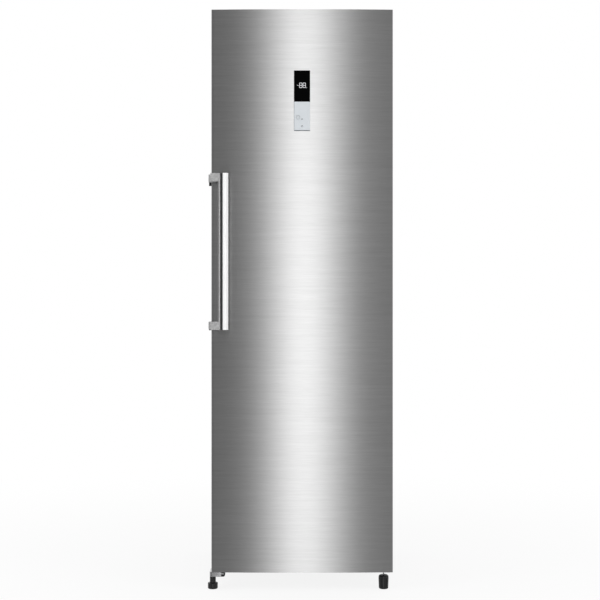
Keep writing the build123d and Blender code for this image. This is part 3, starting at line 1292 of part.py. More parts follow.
DRAWER_FRONT = FRONT_Y + DRAWER_FRONT_GAP
DRAWER_HALF = CAVITY_HALF - DRAWER_GAP
DRAWER_REAR_GAP = 8.0
DRAWER_BACK = SHELF_FRONT + GLASS_DEPTH - DRAWER_REAR_GAP
SHORT_BACK = STEP_Y - DRAWER_REAR_GAP
PANEL_CORNER = 5.0
PANEL_DROP = 4.0  # a drawer panel's top below the shelf above
FRONT_PANEL = 5.0
GRIP_WIDTH = 170.0
GRIP_HEIGHT = 30.0
GRIP_DEPTH = 22.0
GRIP_DROP = 16.0  # from the panel's top to the grip
TUB_CORNER = 14.0


def drawer(label, floor_z, roof_z, back_y):
    """A see-through tub with a moulded front panel and a recessed grip."""
    low = floor_z + SLIP
    rim = roof_z - TUB_CLEARANCE
    panel_top = roof_z - PANEL_DROP
    inner_half = DRAWER_HALF - DRAWER_WALL
    with BuildPart() as tub:
        with BuildSketch(Plane.XY.offset(low)) as tub_outline:
            with Locations((0, DRAWER_FRONT)):
                Rectangle(
                    2 * DRAWER_HALF, back_y - DRAWER_FRONT, align=(Align.CENTER, Align.MIN)
                )
            fillet(tub_outline.vertices().group_by(Axis.Y)[-1], TUB_CORNER)
        extrude(amount=rim - low)
        with BuildSketch(Plane.XY.offset(low + DRAWER_WALL)) as tub_inside:
            with Locations((0, DRAWER_FRONT + FRONT_PANEL)):
                Rectangle(
                    2 * inner_half,
                    back_y - DRAWER_WALL - DRAWER_FRONT - FRONT_PANEL,
                    align=(Align.CENTER, Align.MIN),
                )
            fillet(tub_inside.vertices().group_by(Axis.Y)[-1], TUB_CORNER - DRAWER_WALL)
        extrude(amount=rim - low, mode=Mode.SUBTRACT)
        # front panel, up to the next shelf
        with BuildSketch(Plane.XZ.offset(-DRAWER_FRONT)) as panel_outline:
            with Locations((0, low)):
                Rectangle(2 * DRAWER_HALF, panel_top - low, align=(Align.CENTER, Align.MIN))
            fillet(panel_outline.vertices(), PANEL_CORNER)
        extrude(amount=-FRONT_PANEL)
        # grip: a pocket behind the panel, open to the front
        grip_top = panel_top - GRIP_DROP
        with BuildSketch(Plane.XZ.offset(-DRAWER_FRONT - FRONT_PANEL)):
            with Locations((0, grip_top + DRAWER_WALL)):
                Rectangle(
                    GRIP_WIDTH + 2 * DRAWER_WALL,
                    GRIP_HEIGHT + 2 * DRAWER_WALL,
                    align=(Align.CENTER, Align.MAX),
                )
        extrude(amount=-GRIP_DEPTH)
        with BuildSketch(Plane.XZ.offset(-DRAWER_FRONT)):
            with Locations((0, grip_top)):
                Rectangle(GRIP_WIDTH, GRIP_HEIGHT, align=(Align.CENTER, Align.MAX))
        extrude(amount=-FRONT_PANEL - GRIP_DEPTH + DRAWER_WALL, mode=Mode.SUBTRACT)
    save(tub, label)


drawer("drawer_1", CAVITY_FLOOR, SHELVES[0], SHORT_BACK)
for level in range(DRAWER_COUNT):
    drawer(f"drawer_{level + 2}", SHELVES[level] + GLASS, SHELVES[level + 1], DRAWER_BACK)

FLAP = 4.0
FLAP_PIN_R = 2.5
FLAP_STUB = 10.0
FLAP_PIVOT = 9.0  # above the shelf glass
FLAP_SIDE = 1.5
FLAP_END = 3.0  # room below and above a flap
LIP_DROP = 12.0  # the lip below the shelf above
LIP_DEPTH = 16.0
LIP = 3.0


def flap(label, floor_z, roof_z):
    """A front flap that tips down about two pins near its lower edge."""
    pivot_y = DRAWER_FRONT + FLAP
    pivot_z = floor_z + FLAP_PIVOT
    half = CAVITY_HALF - FLAP_SIDE
    with BuildPart() as door:
        with BuildSketch(Plane.XZ.offset(-DRAWER_FRONT)) as flap_outline:
            with Locations((0, floor_z + FLAP_END)):
                Rectangle(
                    2 * half, roof_z - floor_z - 2 * FLAP_END, align=(Align.CENTER, Align.MIN)
                )
            fillet(flap_outline.vertices(), PANEL_CORNER)
        extrude(amount=-FLAP)
        # turned-in lip to pull it by
        with BuildSketch(Plane.XY.offset(roof_z - LIP_DROP)):
            with Locations((0, DRAWER_FRONT)):
                Rectangle(GRIP_WIDTH, LIP_DEPTH, align=(Align.CENTER, Align.MIN))
        extrude(amount=LIP)
        # pivot stubs at both ends
        for side in (-1, 1):
            with BuildSketch(Plane.YZ.offset(side * (half - FLAP_STUB))):
                with Locations((pivot_y, pivot_z)):
                    Circle(FLAP_PIN_R)
            extrude(amount=side * (CAVITY_HALF - SLIP - half + FLAP_STUB))
    save(door, label)


flap("flap_1", SHELVES[4] + GLASS, SHELVES[5])
flap("flap_2", SHELVES[5] + GLASS, CAVITY_TOP)

# ====================================================================== screws
SCREW_HEAD_R = 5.5
SCREW_HEAD = 2.4
UPPER_SCREWS = [
    (HINGE_X - 55, FRONT_Y + 54),
    (HINGE_X - 20, FRONT_Y + 34),
    (HINGE_X, FRONT_Y + 58),
]
FRONT_SCREW_Z = LOWER_LEG_TOP - 12
FRONT_SCREWS = [(x, FRONT_SCREW_Z) for x in (HINGE_X - 28, HINGE_X, -HALF + 14, BRACKET_RIGHT)]
COVER_SCREW_X = HALF - 16
COVER_SCREWS = [
    (side * COVER_SCREW_X, z) for side in (-1, 1) for z in (BAY_FLOOR + 14, BAY_TOP - 14)
]

with BuildPart() as cabinet_screws:
    # six-sided heads on the upper hinge, the lower hinge and foot bracket, the rear cover
    for screw_plane, screw_spots in (
        (Plane.XY.offset(CABINET_TOP + HINGE_PLATE), UPPER_SCREWS),
        (Plane.XZ.offset(-FRONT_Y + HINGE_PLATE), FRONT_SCREWS),
        (Plane.XZ.offset(-BACK_Y - SCREW_HEAD), COVER_SCREWS),
    ):
        with BuildSketch(screw_plane):
            with Locations(screw_spots):
                RegularPolygon(SCREW_HEAD_R, 6)
        extrude(amount=SCREW_HEAD)
save(cabinet_screws, "cabinet_screws")
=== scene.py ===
"""Looks of an upright freezer: one tall brushed steel door with a lever handle, drawers inside.

Metres, +Z up, -Y towards the front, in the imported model's own frame.
"""
from __future__ import annotations

import logging
import math
from contextlib import contextmanager
from dataclasses import dataclass
from enum import Enum
from typing import Callable, Iterator

import bmesh
import bpy
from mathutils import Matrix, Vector

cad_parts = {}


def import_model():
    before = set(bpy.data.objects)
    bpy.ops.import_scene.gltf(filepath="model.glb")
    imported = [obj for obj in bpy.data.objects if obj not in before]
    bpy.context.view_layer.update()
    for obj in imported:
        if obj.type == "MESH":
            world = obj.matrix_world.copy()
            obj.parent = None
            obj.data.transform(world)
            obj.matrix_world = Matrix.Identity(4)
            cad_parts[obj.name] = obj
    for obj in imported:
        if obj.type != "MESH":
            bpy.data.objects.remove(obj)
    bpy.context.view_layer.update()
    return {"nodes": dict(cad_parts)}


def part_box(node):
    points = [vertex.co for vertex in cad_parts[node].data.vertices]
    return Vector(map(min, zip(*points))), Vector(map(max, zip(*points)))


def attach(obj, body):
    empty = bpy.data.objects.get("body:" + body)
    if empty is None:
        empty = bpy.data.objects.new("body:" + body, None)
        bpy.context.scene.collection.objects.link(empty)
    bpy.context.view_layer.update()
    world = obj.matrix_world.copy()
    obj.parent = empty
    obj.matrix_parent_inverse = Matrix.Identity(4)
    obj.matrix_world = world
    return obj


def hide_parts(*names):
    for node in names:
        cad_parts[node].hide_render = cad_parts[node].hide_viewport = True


Point = tuple[float, float, float]
Span = tuple[float, float]
Test = Callable[[Vector, Vector], bool]
Object = bpy.types.Object
Node = bpy.types.Node
NodeTree = bpy.types.NodeTree
Socket = bpy.types.NodeSocket

LOG = logging.getLogger("freezer")
MM = 0.001
NEAR = 0.01 * MM  # places that are closer than this count as one
MERGED = 1e-6  # points that are closer than this are merged
FACING = 0.9  # cosine to an axis from which an edge or a face points along it
X_WAY, Y_WAY, Z_WAY = Vector((1, 0, 0)), Vector((0, 1, 0)), Vector((0, 0, 1))
TO_FRONT = (math.pi / 2, 0, 0)  # turns a plane, a circle or the camera square to the door
WHITE = (1.0, 1.0, 1.0, 1.0)


# ---------------------------------------------------------------------- modelling by hand
def take(piece: Object) -> None:
    """Make a piece the only selected and the active one.

    Args:
        piece: the object to work on.
    """
    bpy.ops.object.select_all(action="DESELECT")
    piece.select_set(True)
    bpy.context.view_layer.objects.active = piece


@contextmanager
def editing(piece: Object) -> Iterator[None]:
    """Edit mode on one piece, with nothing selected in it.

    Args:
        piece: the mesh object to edit.
    """
    take(piece)
    bpy.ops.object.mode_set(mode="EDIT")
    bpy.ops.mesh.select_all(action="DESELECT")
    yield
    bpy.ops.object.mode_set(mode="OBJECT")


class Part(Enum):
    """Which elements of a mesh a selection takes."""

    VERTS = "VERT"
    EDGES = "EDGE"
    FACES = "FACE"


def near(place: float, level: float) -> bool:
    """Whether a place lies at a level."""
    return abs(place - level) < NEAR


def along(way: Vector, axis: Vector) -> bool:
    """Whether a direction points along an axis, either way."""
    return abs(way.dot(axis)) > FACING


def select(piece: Object, part: Part, test: Test) -> None:
    """Select the elements of a piece in edit mode by place and direction.

    Args:
        piece: the mesh object that is being edited.
        part: vertices, edges or faces.
        test: takes an element's middle and its normal, or an edge's direction.
    """
    bpy.ops.mesh.select_mode(type=part.value)
    bpy.ops.mesh.select_all(action="DESELECT")
    mesh = bmesh.from_edit_mesh(piece.data)
    if part is Part.VERTS:
        found = [(vert, vert.co, vert.normal) for vert in mesh.verts]
    elif part is Part.EDGES:
        ends = [(edge, edge.verts[0].co, edge.verts[1].co) for edge in mesh.edges]
        found = [(edge, (a + b) / 2, (b - a).normalized()) for edge, a, b in ends]
    else:
        found = [(face, face.calc_center_median(), face.normal) for face in mesh.faces]
    for element, middle, way in found:
        if test(middle, way):
            element.select_set(True)
    mesh.select_flush_mode()
    bmesh.update_edit_mesh(piece.data)


def bevel(piece: Object, size: float, segments: int, test: Test) -> None:
    """Round the edges that pass a test, by a size and in some segments, in edit mode."""
    select(piece, Part.EDGES, test)
    bpy.ops.mesh.bevel(offset=size, segments=segments, affect="EDGES")


def cut(way: Vector, *levels: float) -> None:
    """Cut the whole mesh in edit mode square to an axis.

    Args:
        way: the axis.
        *levels: where to cut along it.
    """
    for level in levels:
        bpy.ops.mesh.select_all(action="SELECT")
        bpy.ops.mesh.bisect(plane_co=way * level, plane_no=way)


def pull(shift: Vector) -> None:
    """Extrude what is selected in edit mode by a shift."""
    bpy.ops.mesh.extrude_region_move(TRANSFORM_OT_translate={"value": tuple(shift)})


def settle(name: str) -> Object:
    """Put the place of the primitive that was just added into its mesh, and name it.

    Args:
        name: its name in the model.

    Returns:
        The object, at the origin, unturned and unscaled.
    """
    piece = bpy.context.object
    take(piece)
    bpy.ops.object.transform_apply(location=True, rotation=True, scale=True)
    piece.name = name
    piece.data.name = name
    return piece


def block(name: str, low: Point, high: Point) -> Object:
    """A cube primitive stretched between two corners, ready to be shaped.

    Args:
        name: the piece's name.
        low: its lowest corner.
        high: its highest corner.

    Returns:
        The new object.
    """
    middle = [(a + b) / 2 for a, b in zip(low, high)]
    size = [b - a for a, b in zip(low, high)]
    bpy.ops.mesh.primitive_cube_add(size=1, location=middle, scale=size)
    return settle(name)


def rod(name: str, foot: Point, radius: float, height: float, sides: int) -> Object:
    """An upright cylinder primitive, ready to be shaped.

    Args:
        name: the piece's name.
        foot: the middle of its lower end.
        radius: its radius.
        height: its height.
        sides: how many sides its outline has.

    Returns:
        The new object.
    """
    middle = Vector(foot) + Z_WAY * height / 2
    bpy.ops.mesh.primitive_cylinder_add(vertices=sides, radius=radius, depth=height, location=middle)
    return settle(name)


def smooth(piece: Object, angle: float) -> None:
    """Shade a piece smooth up to an angle in degrees."""
    take(piece)
    bpy.ops.object.shade_smooth_by_angle(angle=math.radians(angle))


def outward(piece: Object) -> None:
    """Merge doubles and turn every face of a piece outwards.

    Args:
        piece: the mesh object.
    """
    with editing(piece):
        bpy.ops.mesh.select_all(action="SELECT")
        bpy.ops.mesh.remove_doubles(threshold=MERGED)
        bpy.ops.mesh.normals_make_consistent(inside=False)


def finished(piece: Object, angle: float) -> Object:
    """Clean a piece up and shade it.

    Args:
        piece: the piece in its final shape.
        angle: in degrees, up to which its edges are shaded smooth.

    Returns:
        The same piece.
    """
    outward(piece)
    smooth(piece, angle)
    return piece


def join(pieces: list[Object], name: str) -> Object:
    """Join several new meshes into the first of them.

    Args:
        pieces: the objects.
        name: the joined piece's name.

    Returns:
        The joined object.
    """
    take(pieces[0])
    for piece in pieces[1:]:
        piece.select_set(True)
    bpy.ops.object.join()
    pieces[0].name = name
    return pieces[0]


# ---------------------------------------------------------------------- shader nodes
def empty_tree(owner: bpy.types.Material | bpy.types.World) -> NodeTree:
    """Switch on the node tree of a new material or world, and empty it.

    Args:
        owner: the material or the world.

    Returns:
        Its node tree.
    """
    owner.use_nodes = True
    owner.node_tree.nodes.clear()
    return owner.node_tree


def add_node(tree: NodeTree, kind: str, inputs: dict | None = None, **settings: object) -> Node:
    """Add a node, set its properties and feed its inputs.

    Args:
        tree: the tree that it goes in.
        kind: the node's type.
        inputs: a plain value or an output of another node, by the input's name or number.
        **settings: its properties by name.

    Returns:
        The new node.
    """
    node = tree.nodes.new(kind)
    for key, value in settings.items():
        setattr(node, key, value)
    for key, source in (inputs or {}).items():
        if isinstance(source, Socket):
            tree.links.new(source, node.inputs[key])
        else:
            node.inputs[key].default_value = source
    return node


def result(tree: NodeTree, operation: str, *values: Socket | float) -> Socket:
    """The output of a new math node that takes some values in order."""
    node = add_node(tree, "ShaderNodeMath", dict(enumerate(values)), operation=operation)
    return node.outputs[0]


class Course(Enum):
    """How a ramp runs from one end to the other."""

    STRAIGHT = "LINEAR"
    EASED = "SMOOTHSTEP"


def ramp(
    tree: NodeTree, value: Socket, span: Span, ends: Span, course: Course = Course.STRAIGHT
) -> Socket:
    """A value's way through a span, as a way from one end to the other.

    Args:
        tree: the tree that the node goes in.
        value: what is looked at.
        span: where the way begins and is over.
        ends: the result there.
        course: how it runs in between.

    Returns:
        The result.
    """
    names = ("From Min", "From Max", "To Min", "To Max")
    inputs = {"Value": value, **dict(zip(names, (*span, *ends)))}
    node = add_node(tree, "ShaderNodeMapRange", inputs, interpolation_type=course.value)
    return node.outputs["Result"]


def whichever(tree: NodeTree, ray: Node, kinds: tuple[str, str]) -> Socket:
    """1 for rays of either of two kinds."""
    return result(tree, "MAXIMUM", *(ray.outputs[kind] for kind in kinds))


def blend(tree: NodeTree, share: Socket, value: Socket, other: float) -> Socket:
    """A value that turns into another one as a share goes from 0 to 1."""
    inputs = {"Factor": share, "A": value, "B": other}
    return add_node(tree, "ShaderNodeMix", inputs).outputs["Result"]


def mixed(tree: NodeTree, share: Socket, first: Node, second: Node) -> Node:
    """A shader that turns into another one as a share goes from 0 to 1."""
    inputs = {0: share, 1: first.outputs[0], 2: second.outputs[0]}
    return add_node(tree, "ShaderNodeMixShader", inputs)


class Effect:
    """A shader node group that several finishes use."""

    name = "effect"
    inputs: dict[str, float] = {}
    outputs: tuple[str, ...] = ()

    @classmethod
    def tree(cls) -> NodeTree:
        """The group, built the first time that it is asked for.

        Returns:
            Its node tree.
        """
        found = bpy.data.node_groups.get(cls.name)
        if found is None:
            found = bpy.data.node_groups.new(cls.name, "ShaderNodeTree")
            add_socket = found.interface.new_socket
            for name, default in cls.inputs.items():
                socket = add_socket(name, in_out="INPUT", socket_type="NodeSocketFloat")
                socket.default_value = default
            for name in cls.outputs:
                add_socket(name, in_out="OUTPUT", socket_type="NodeSocketFloat")
            cls.build(found)
        return found

    @classmethod
    def build(cls, tree: NodeTree) -> None:
        """Fill the group with its nodes."""
        raise NotImplementedError


class Grain(Effect):
    """Level brush marks: short fine lines along X, in two sizes."""

    name = "grain"
    inputs = {"Line height": 0.5 * MM, "Line length": 80 * MM}
    outputs = ("Mask",)
    sizes = (1.0, 0.22)  # how dense each noise is, beside the first one
    noise = {"Scale": 1.0, "Detail": 3.0, "Roughness": 0.65}

    @classmethod
    def build(cls, tree: NodeTree) -> None:
        """Two stretched noises, mixed half and half to one mask.

        Args:
            tree: the empty group.
        """
        into = add_node(tree, "NodeGroupInput")
        spot = add_node(tree, "ShaderNodeTexCoord").outputs["Object"]
        across = result(tree, "DIVIDE", 1.0, into.outputs["Line height"])
        length = result(tree, "DIVIDE", 1.0, into.outputs["Line length"])
        stretch = add_node(tree, "ShaderNodeCombineXYZ", {"X": length, "Y": length, "Z": across})
        inputs = {0: spot, 1: stretch.outputs[0]}
        lines = add_node(tree, "ShaderNodeVectorMath", inputs, operation="MULTIPLY").outputs[0]
        mix = {"Factor": 0.5}
        for side, size in zip("AB", cls.sizes):
            inputs = {0: lines, "Scale": size}
            vector = add_node(tree, "ShaderNodeVectorMath", inputs, operation="SCALE")
            inputs = {**cls.noise, "Vector": vector.outputs[0]}
            mix[side] = add_node(tree, "ShaderNodeTexNoise", inputs).outputs["Fac"]
        mask = add_node(tree, "ShaderNodeMix", mix).outputs["Result"]
        add_node(tree, "NodeGroupOutput", {"Mask": mask})


class Mottle(Effect):
    """Slow unevenness with a fine texture on it, for paint and moulded plastic."""

    name = "mottle"
    inputs = {"Patch": 150 * MM, "Texture": 1 * MM}
    outputs = ("Patches", "Pores")
    details = (3.0, 1.0)  # finer layers of each noise

    @classmethod
    def build(cls, tree: NodeTree) -> None:
        """One coarse and one fine noise, each an output.

        Args:
            tree: the empty group.
        """
        into = add_node(tree, "NodeGroupInput")
        spot = add_node(tree, "ShaderNodeTexCoord").outputs["Object"]
        masks = {}
        for size, name, detail in zip(cls.inputs, cls.outputs, cls.details):
            scale = result(tree, "DIVIDE", 1.0, into.outputs[size])
            inputs = {"Detail": detail, "Scale": scale, "Vector": spot}
            masks[name] = add_node(tree, "ShaderNodeTexNoise", inputs).outputs["Fac"]
        add_node(tree, "NodeGroupOutput", masks)


# ---------------------------------------------------------------------- finishes
@dataclass(frozen=True)
class Finish:
    """A surface with slow colour patches and a fine texture."""

    name: str  # the material's name
    colour: Point  # its base colour, linear
    roughness: float  # how dull it is
    metallic: float = 0.0  # 1 for bare metal
    patch: float = 150 * MM  # size of its uneven patches
    uneven: float = 0.06  # how far the patches lighten and darken it
    texture: float = 1.2 * MM  # size of its fine texture
    relief: float = 0.03 * MM  # depth of that texture
    coat: float = 0.0  # a clear gloss layer on top
    clear: float = 0.0  # how much light goes through it
    glow: float = 0.0  # light of its own, for lit marks
    gloss: float = 0.5  # strength of its plain reflection, 0.5 for common plastic
    worn: float = 0.06  # how far the patches change its roughness, as a share of it
    coat_roughness: float = 0.04  # how dull the clear layer is
    tinted: Span = (0.3, 0.7)  # where its colour mask is at its darkest and its lightest

    def material(self) -> bpy.types.Material:
        """The material, made the first time that it is asked for.

        Returns:
            The material.
        """
        found = bpy.data.materials.get(self.name)
        if found is None:
            found = bpy.data.materials.new(self.name)
            self.dress(empty_tree(found))
            found.diffuse_color = (*self.colour, 1.0)
        return found

    def masks(self, tree: NodeTree) -> tuple[Socket, Socket]:
        """Add its slow patches and its fine texture.

        Args:
            tree: the material's node tree.

        Returns:
            The mask for colour and dullness, and the one for relief.
        """
        inputs = {"Patch": self.patch, "Texture": self.texture}
        mottle = add_node(tree, "ShaderNodeGroup", inputs, node_tree=Mottle.tree())
        return mottle.outputs["Patches"], mottle.outputs["Pores"]

    def highlight(self, tree: NodeTree) -> dict[str, Socket | float]:
        """What else shapes its highlights, by the shader's input."""
        return {}

    def dress(self, tree: NodeTree) -> None:
        """Fill the material's empty tree.

        Args:
            tree: the node tree.
        """
        mask, fine = self.masks(tree)
        tint = add_node(tree, "ShaderNodeValToRGB", {"Fac": mask})
        gains = (1 - self.uneven, 1 + self.uneven)
        for stop, place, gain in zip(tint.color_ramp.elements, self.tinted, gains):
            stop.position = place
            stop.color = (*(min(level * gain, 1.0) for level in self.colour), 1.0)
        sway = result(tree, "SUBTRACT", mask, 0.5)
        relief = {"Distance": self.relief, "Height": fine}
        dull = self.roughness
        inputs = {
            "Base Color": tint.outputs["Color"],
            "Roughness": result(tree, "MULTIPLY_ADD", sway, dull * self.worn, dull),
            "Normal": add_node(tree, "ShaderNodeBump", relief).outputs["Normal"],
            "Metallic": self.metallic,
            "Specular IOR Level": self.gloss,
            "Coat Weight": self.coat,
            "Coat Roughness": self.coat_roughness,
            "Transmission Weight": self.clear,
            "Emission Strength": self.glow,
            "Emission Color": (*self.colour, 1.0),
            **self.highlight(tree),
        }
        shader = add_node(tree, "ShaderNodeBsdfPrincipled", inputs)
        add_node(tree, "ShaderNodeOutputMaterial", {"Surface": shader.outputs["BSDF"]})


@dataclass(frozen=True)
class Brushed(Finish):
    """Bare metal with level brush marks, which spread its reflections up and down."""

    metallic: float = 1.0
    worn: float = 0.12
    line: float = 0.6 * MM  # height of one brush mark
    length: float = 60 * MM  # length of one brush mark
    spread: float = 1.0  # how much longer a highlight is across the marks, from 0 to 1
    turned: float = 0.25  # share of a full turn that lays the highlight across the marks

    def masks(self, tree: NodeTree) -> tuple[Socket, Socket]:
        """Add its brush marks.

        Args:
            tree: the material's node tree.

        Returns:
            The mask for colour and dullness, and the one for relief.
        """
        inputs = {"Line height": self.line, "Line length": self.length}
        grain = add_node(tree, "ShaderNodeGroup", inputs, node_tree=Grain.tree())
        return grain.outputs["Mask"], grain.outputs["Mask"]

    def highlight(self, tree: NodeTree) -> dict[str, Socket | float]:
        """Highlights that are stretched across the marks.

        Args:
            tree: the material's node tree.

        Returns:
            The settings by the shader's input.
        """
        around = add_node(tree, "ShaderNodeTangent", direction_type="RADIAL", axis="Z")
        return {
            "Tangent": around.outputs["Tangent"],
            "Anisotropic": self.spread,
            "Anisotropic Rotation": self.turned,
        }


DOOR_STEEL = Brushed(
    "brushed_door", (0.60, 0.60, 0.60), 0.30,
    uneven=0.09, relief=0.004 * MM, line=1.8 * MM, length=50 * MM,
)
SATIN_STEEL = Brushed(
    "satin_steel", (0.55, 0.55, 0.55), 0.38, uneven=0.05, line=0.4 * MM, length=30 * MM, spread=0.6
)
# a near-white base with little metallic paints the bright reflection of the polished bar as painted
# sheen
POLISHED_PAINTED_SHEEN = Finish(
    "polished_painted_sheen", (0.99, 0.99, 0.99), 0.28, metallic=0.2, uneven=0.01, relief=0.002 * MM
)
# dark colour that paints the shade in the gap between the handle's rail and bar
GRIP_SHADE = Finish("painted_grip_shade", (0.05, 0.05, 0.052), 0.4, uneven=0.05, relief=0.02 * MM)
BLASTED = Finish(
    "blasted_metal", (0.55, 0.55, 0.55), 0.45, metallic=0.6, patch=6 * MM, uneven=0.12, relief=0.25 * MM
)
SIDE_PAINT = Finish(
    "side_paint", (0.36, 0.365, 0.37), 0.38,
    patch=400 * MM, uneven=0.02, texture=2.2 * MM, relief=0.04 * MM,
)
ZINC = Finish("zinc_sheet", (0.62, 0.63, 0.64), 0.36, metallic=1.0, patch=30 * MM, uneven=0.05)
FOAM = Finish("rigid_foam", (0.80, 0.72, 0.45), 0.9, texture=3 * MM, relief=0.4 * MM)
LINER = Finish("formed_liner", (0.82, 0.835, 0.84), 0.28, uneven=0.015, texture=4 * MM)
WHITE_MOULDED = Finish("white_moulded", (0.78, 0.79, 0.79), 0.42, uneven=0.02)
GREY_MOULDED = Finish("grey_moulded", (0.18, 0.185, 0.19), 0.45, uneven=0.05, relief=0.06 * MM)
BLACK_MOULDED = Finish("black_moulded", (0.012, 0.012, 0.013), 0.42, uneven=0.2, relief=0.08 * MM)
BLACK_ENAMEL = Finish("black_enamel", (0.010, 0.010, 0.011), 0.28, uneven=0.15, coat=0.3)
NYLON = Finish("natural_nylon", (0.72, 0.70, 0.62), 0.4, uneven=0.03)
SEAL = Finish("seal", (0.52, 0.53, 0.54), 0.6, uneven=0.04, texture=0.8 * MM, relief=0.05 * MM)
RUBBER = Finish("black_rubber", (0.015, 0.015, 0.015), 0.75, uneven=0.2, relief=0.1 * MM)
WINDOW = Finish("black_window", (0.0003, 0.0003, 0.0004), 0.10, uneven=0.1, relief=0.0, gloss=0.01)
TOUCH = Finish("touch_foil", (0.63, 0.665, 0.695), 0.34, uneven=0.03, relief=0.004 * MM, gloss=0.3)
BOARD = Finish("circuit_board", (0.02, 0.13, 0.05), 0.45, uneven=0.15)
CLEAR_BLUE = Finish(
    "drawer_plastic", (0.88, 0.94, 0.97), 0.16, uneven=0.02, relief=0.02 * MM, clear=0.6
)
GLASS = Finish("shelf_glass", (0.86, 0.95, 0.93), 0.02, uneven=0.01, relief=0.0, clear=1.0)
ALUMINIUM = Finish("bare_aluminium", (0.78, 0.79, 0.80), 0.34, metallic=1.0, uneven=0.06)
COPPER = Finish("bare_copper", (0.78, 0.36, 0.22), 0.32, metallic=1.0, patch=20 * MM, uneven=0.15)
DIGITS = Finish("lit_digits", (0.74, 0.75, 0.77), 0.5, uneven=0.01, glow=0.45)
# the touch keys' real print, and also the painted shade lines at the touch panel's foot and left side
PRINT_AND_SHADE = Finish("print_and_painted_shade", (0.15, 0.165, 0.18), 0.4, uneven=0.02, relief=0.002 * MM)
PLATED = Finish("plated_bracket", (0.60, 0.60, 0.61), 0.3, metallic=1.0, patch=10 * MM, uneven=0.15)
FOOT_PLASTIC = Finish("foot_plastic", (0.016, 0.016, 0.017), 0.3, uneven=0.15, relief=0.05 * MM)
LENS = Finish("lamp_lens", (0.90, 0.92, 0.93), 0.3, uneven=0.01, clear=0.3)

PACKED_FINISHES: dict[Finish, tuple[str, ...]] = {
    SIDE_PAINT: ("cabinet_wrap",),
    ZINC: (
        "base_pan", "back_panel", "upper_hinge", "lower_hinge", "compressor_plate",
        "roller_axles", "machine_cover", "cabinet_screws", "handle_pivots",
    ),
    FOAM: ("insulation_foam", "door_foam"),
    LINER: ("inner_liner", "door_liner"),
    GREY_MOULDED: (
        "hinge_cover", "wall_spacers", "fan_motor", "fan_blade", "door_top_cap",
        "door_bottom_cap", "control_housing",
    ),
    BLACK_MOULDED: ("relay_cover", "mains_inlet", "pusher_guides", "roller_left", "roller_right"),
    WHITE_MOULDED: ("drip_tray", "control_box", "air_duct_cover", "fan_shroud"),
    RUBBER: ("compressor_mounts",),
    BLACK_ENAMEL: ("compressor",),
    COPPER: ("refrigerant_pipes", "filter_drier"),
    ALUMINIUM: ("evaporator", "defrost_heater"),
    LENS: ("led_lamp",),
    GLASS: ("glass_shelves",),
    NYLON: ("hinge_bushes",),
    WINDOW: ("display_window",),
    TOUCH: ("touch_panel",),
    BOARD: ("display_board",),
    BLASTED: ("handle_mounts", "handle_arms", "handle_pushers"),
    CLEAR_BLUE: ("drawer_1", "drawer_2", "drawer_3", "drawer_4", "drawer_5", "flap_1", "flap_2"),
}


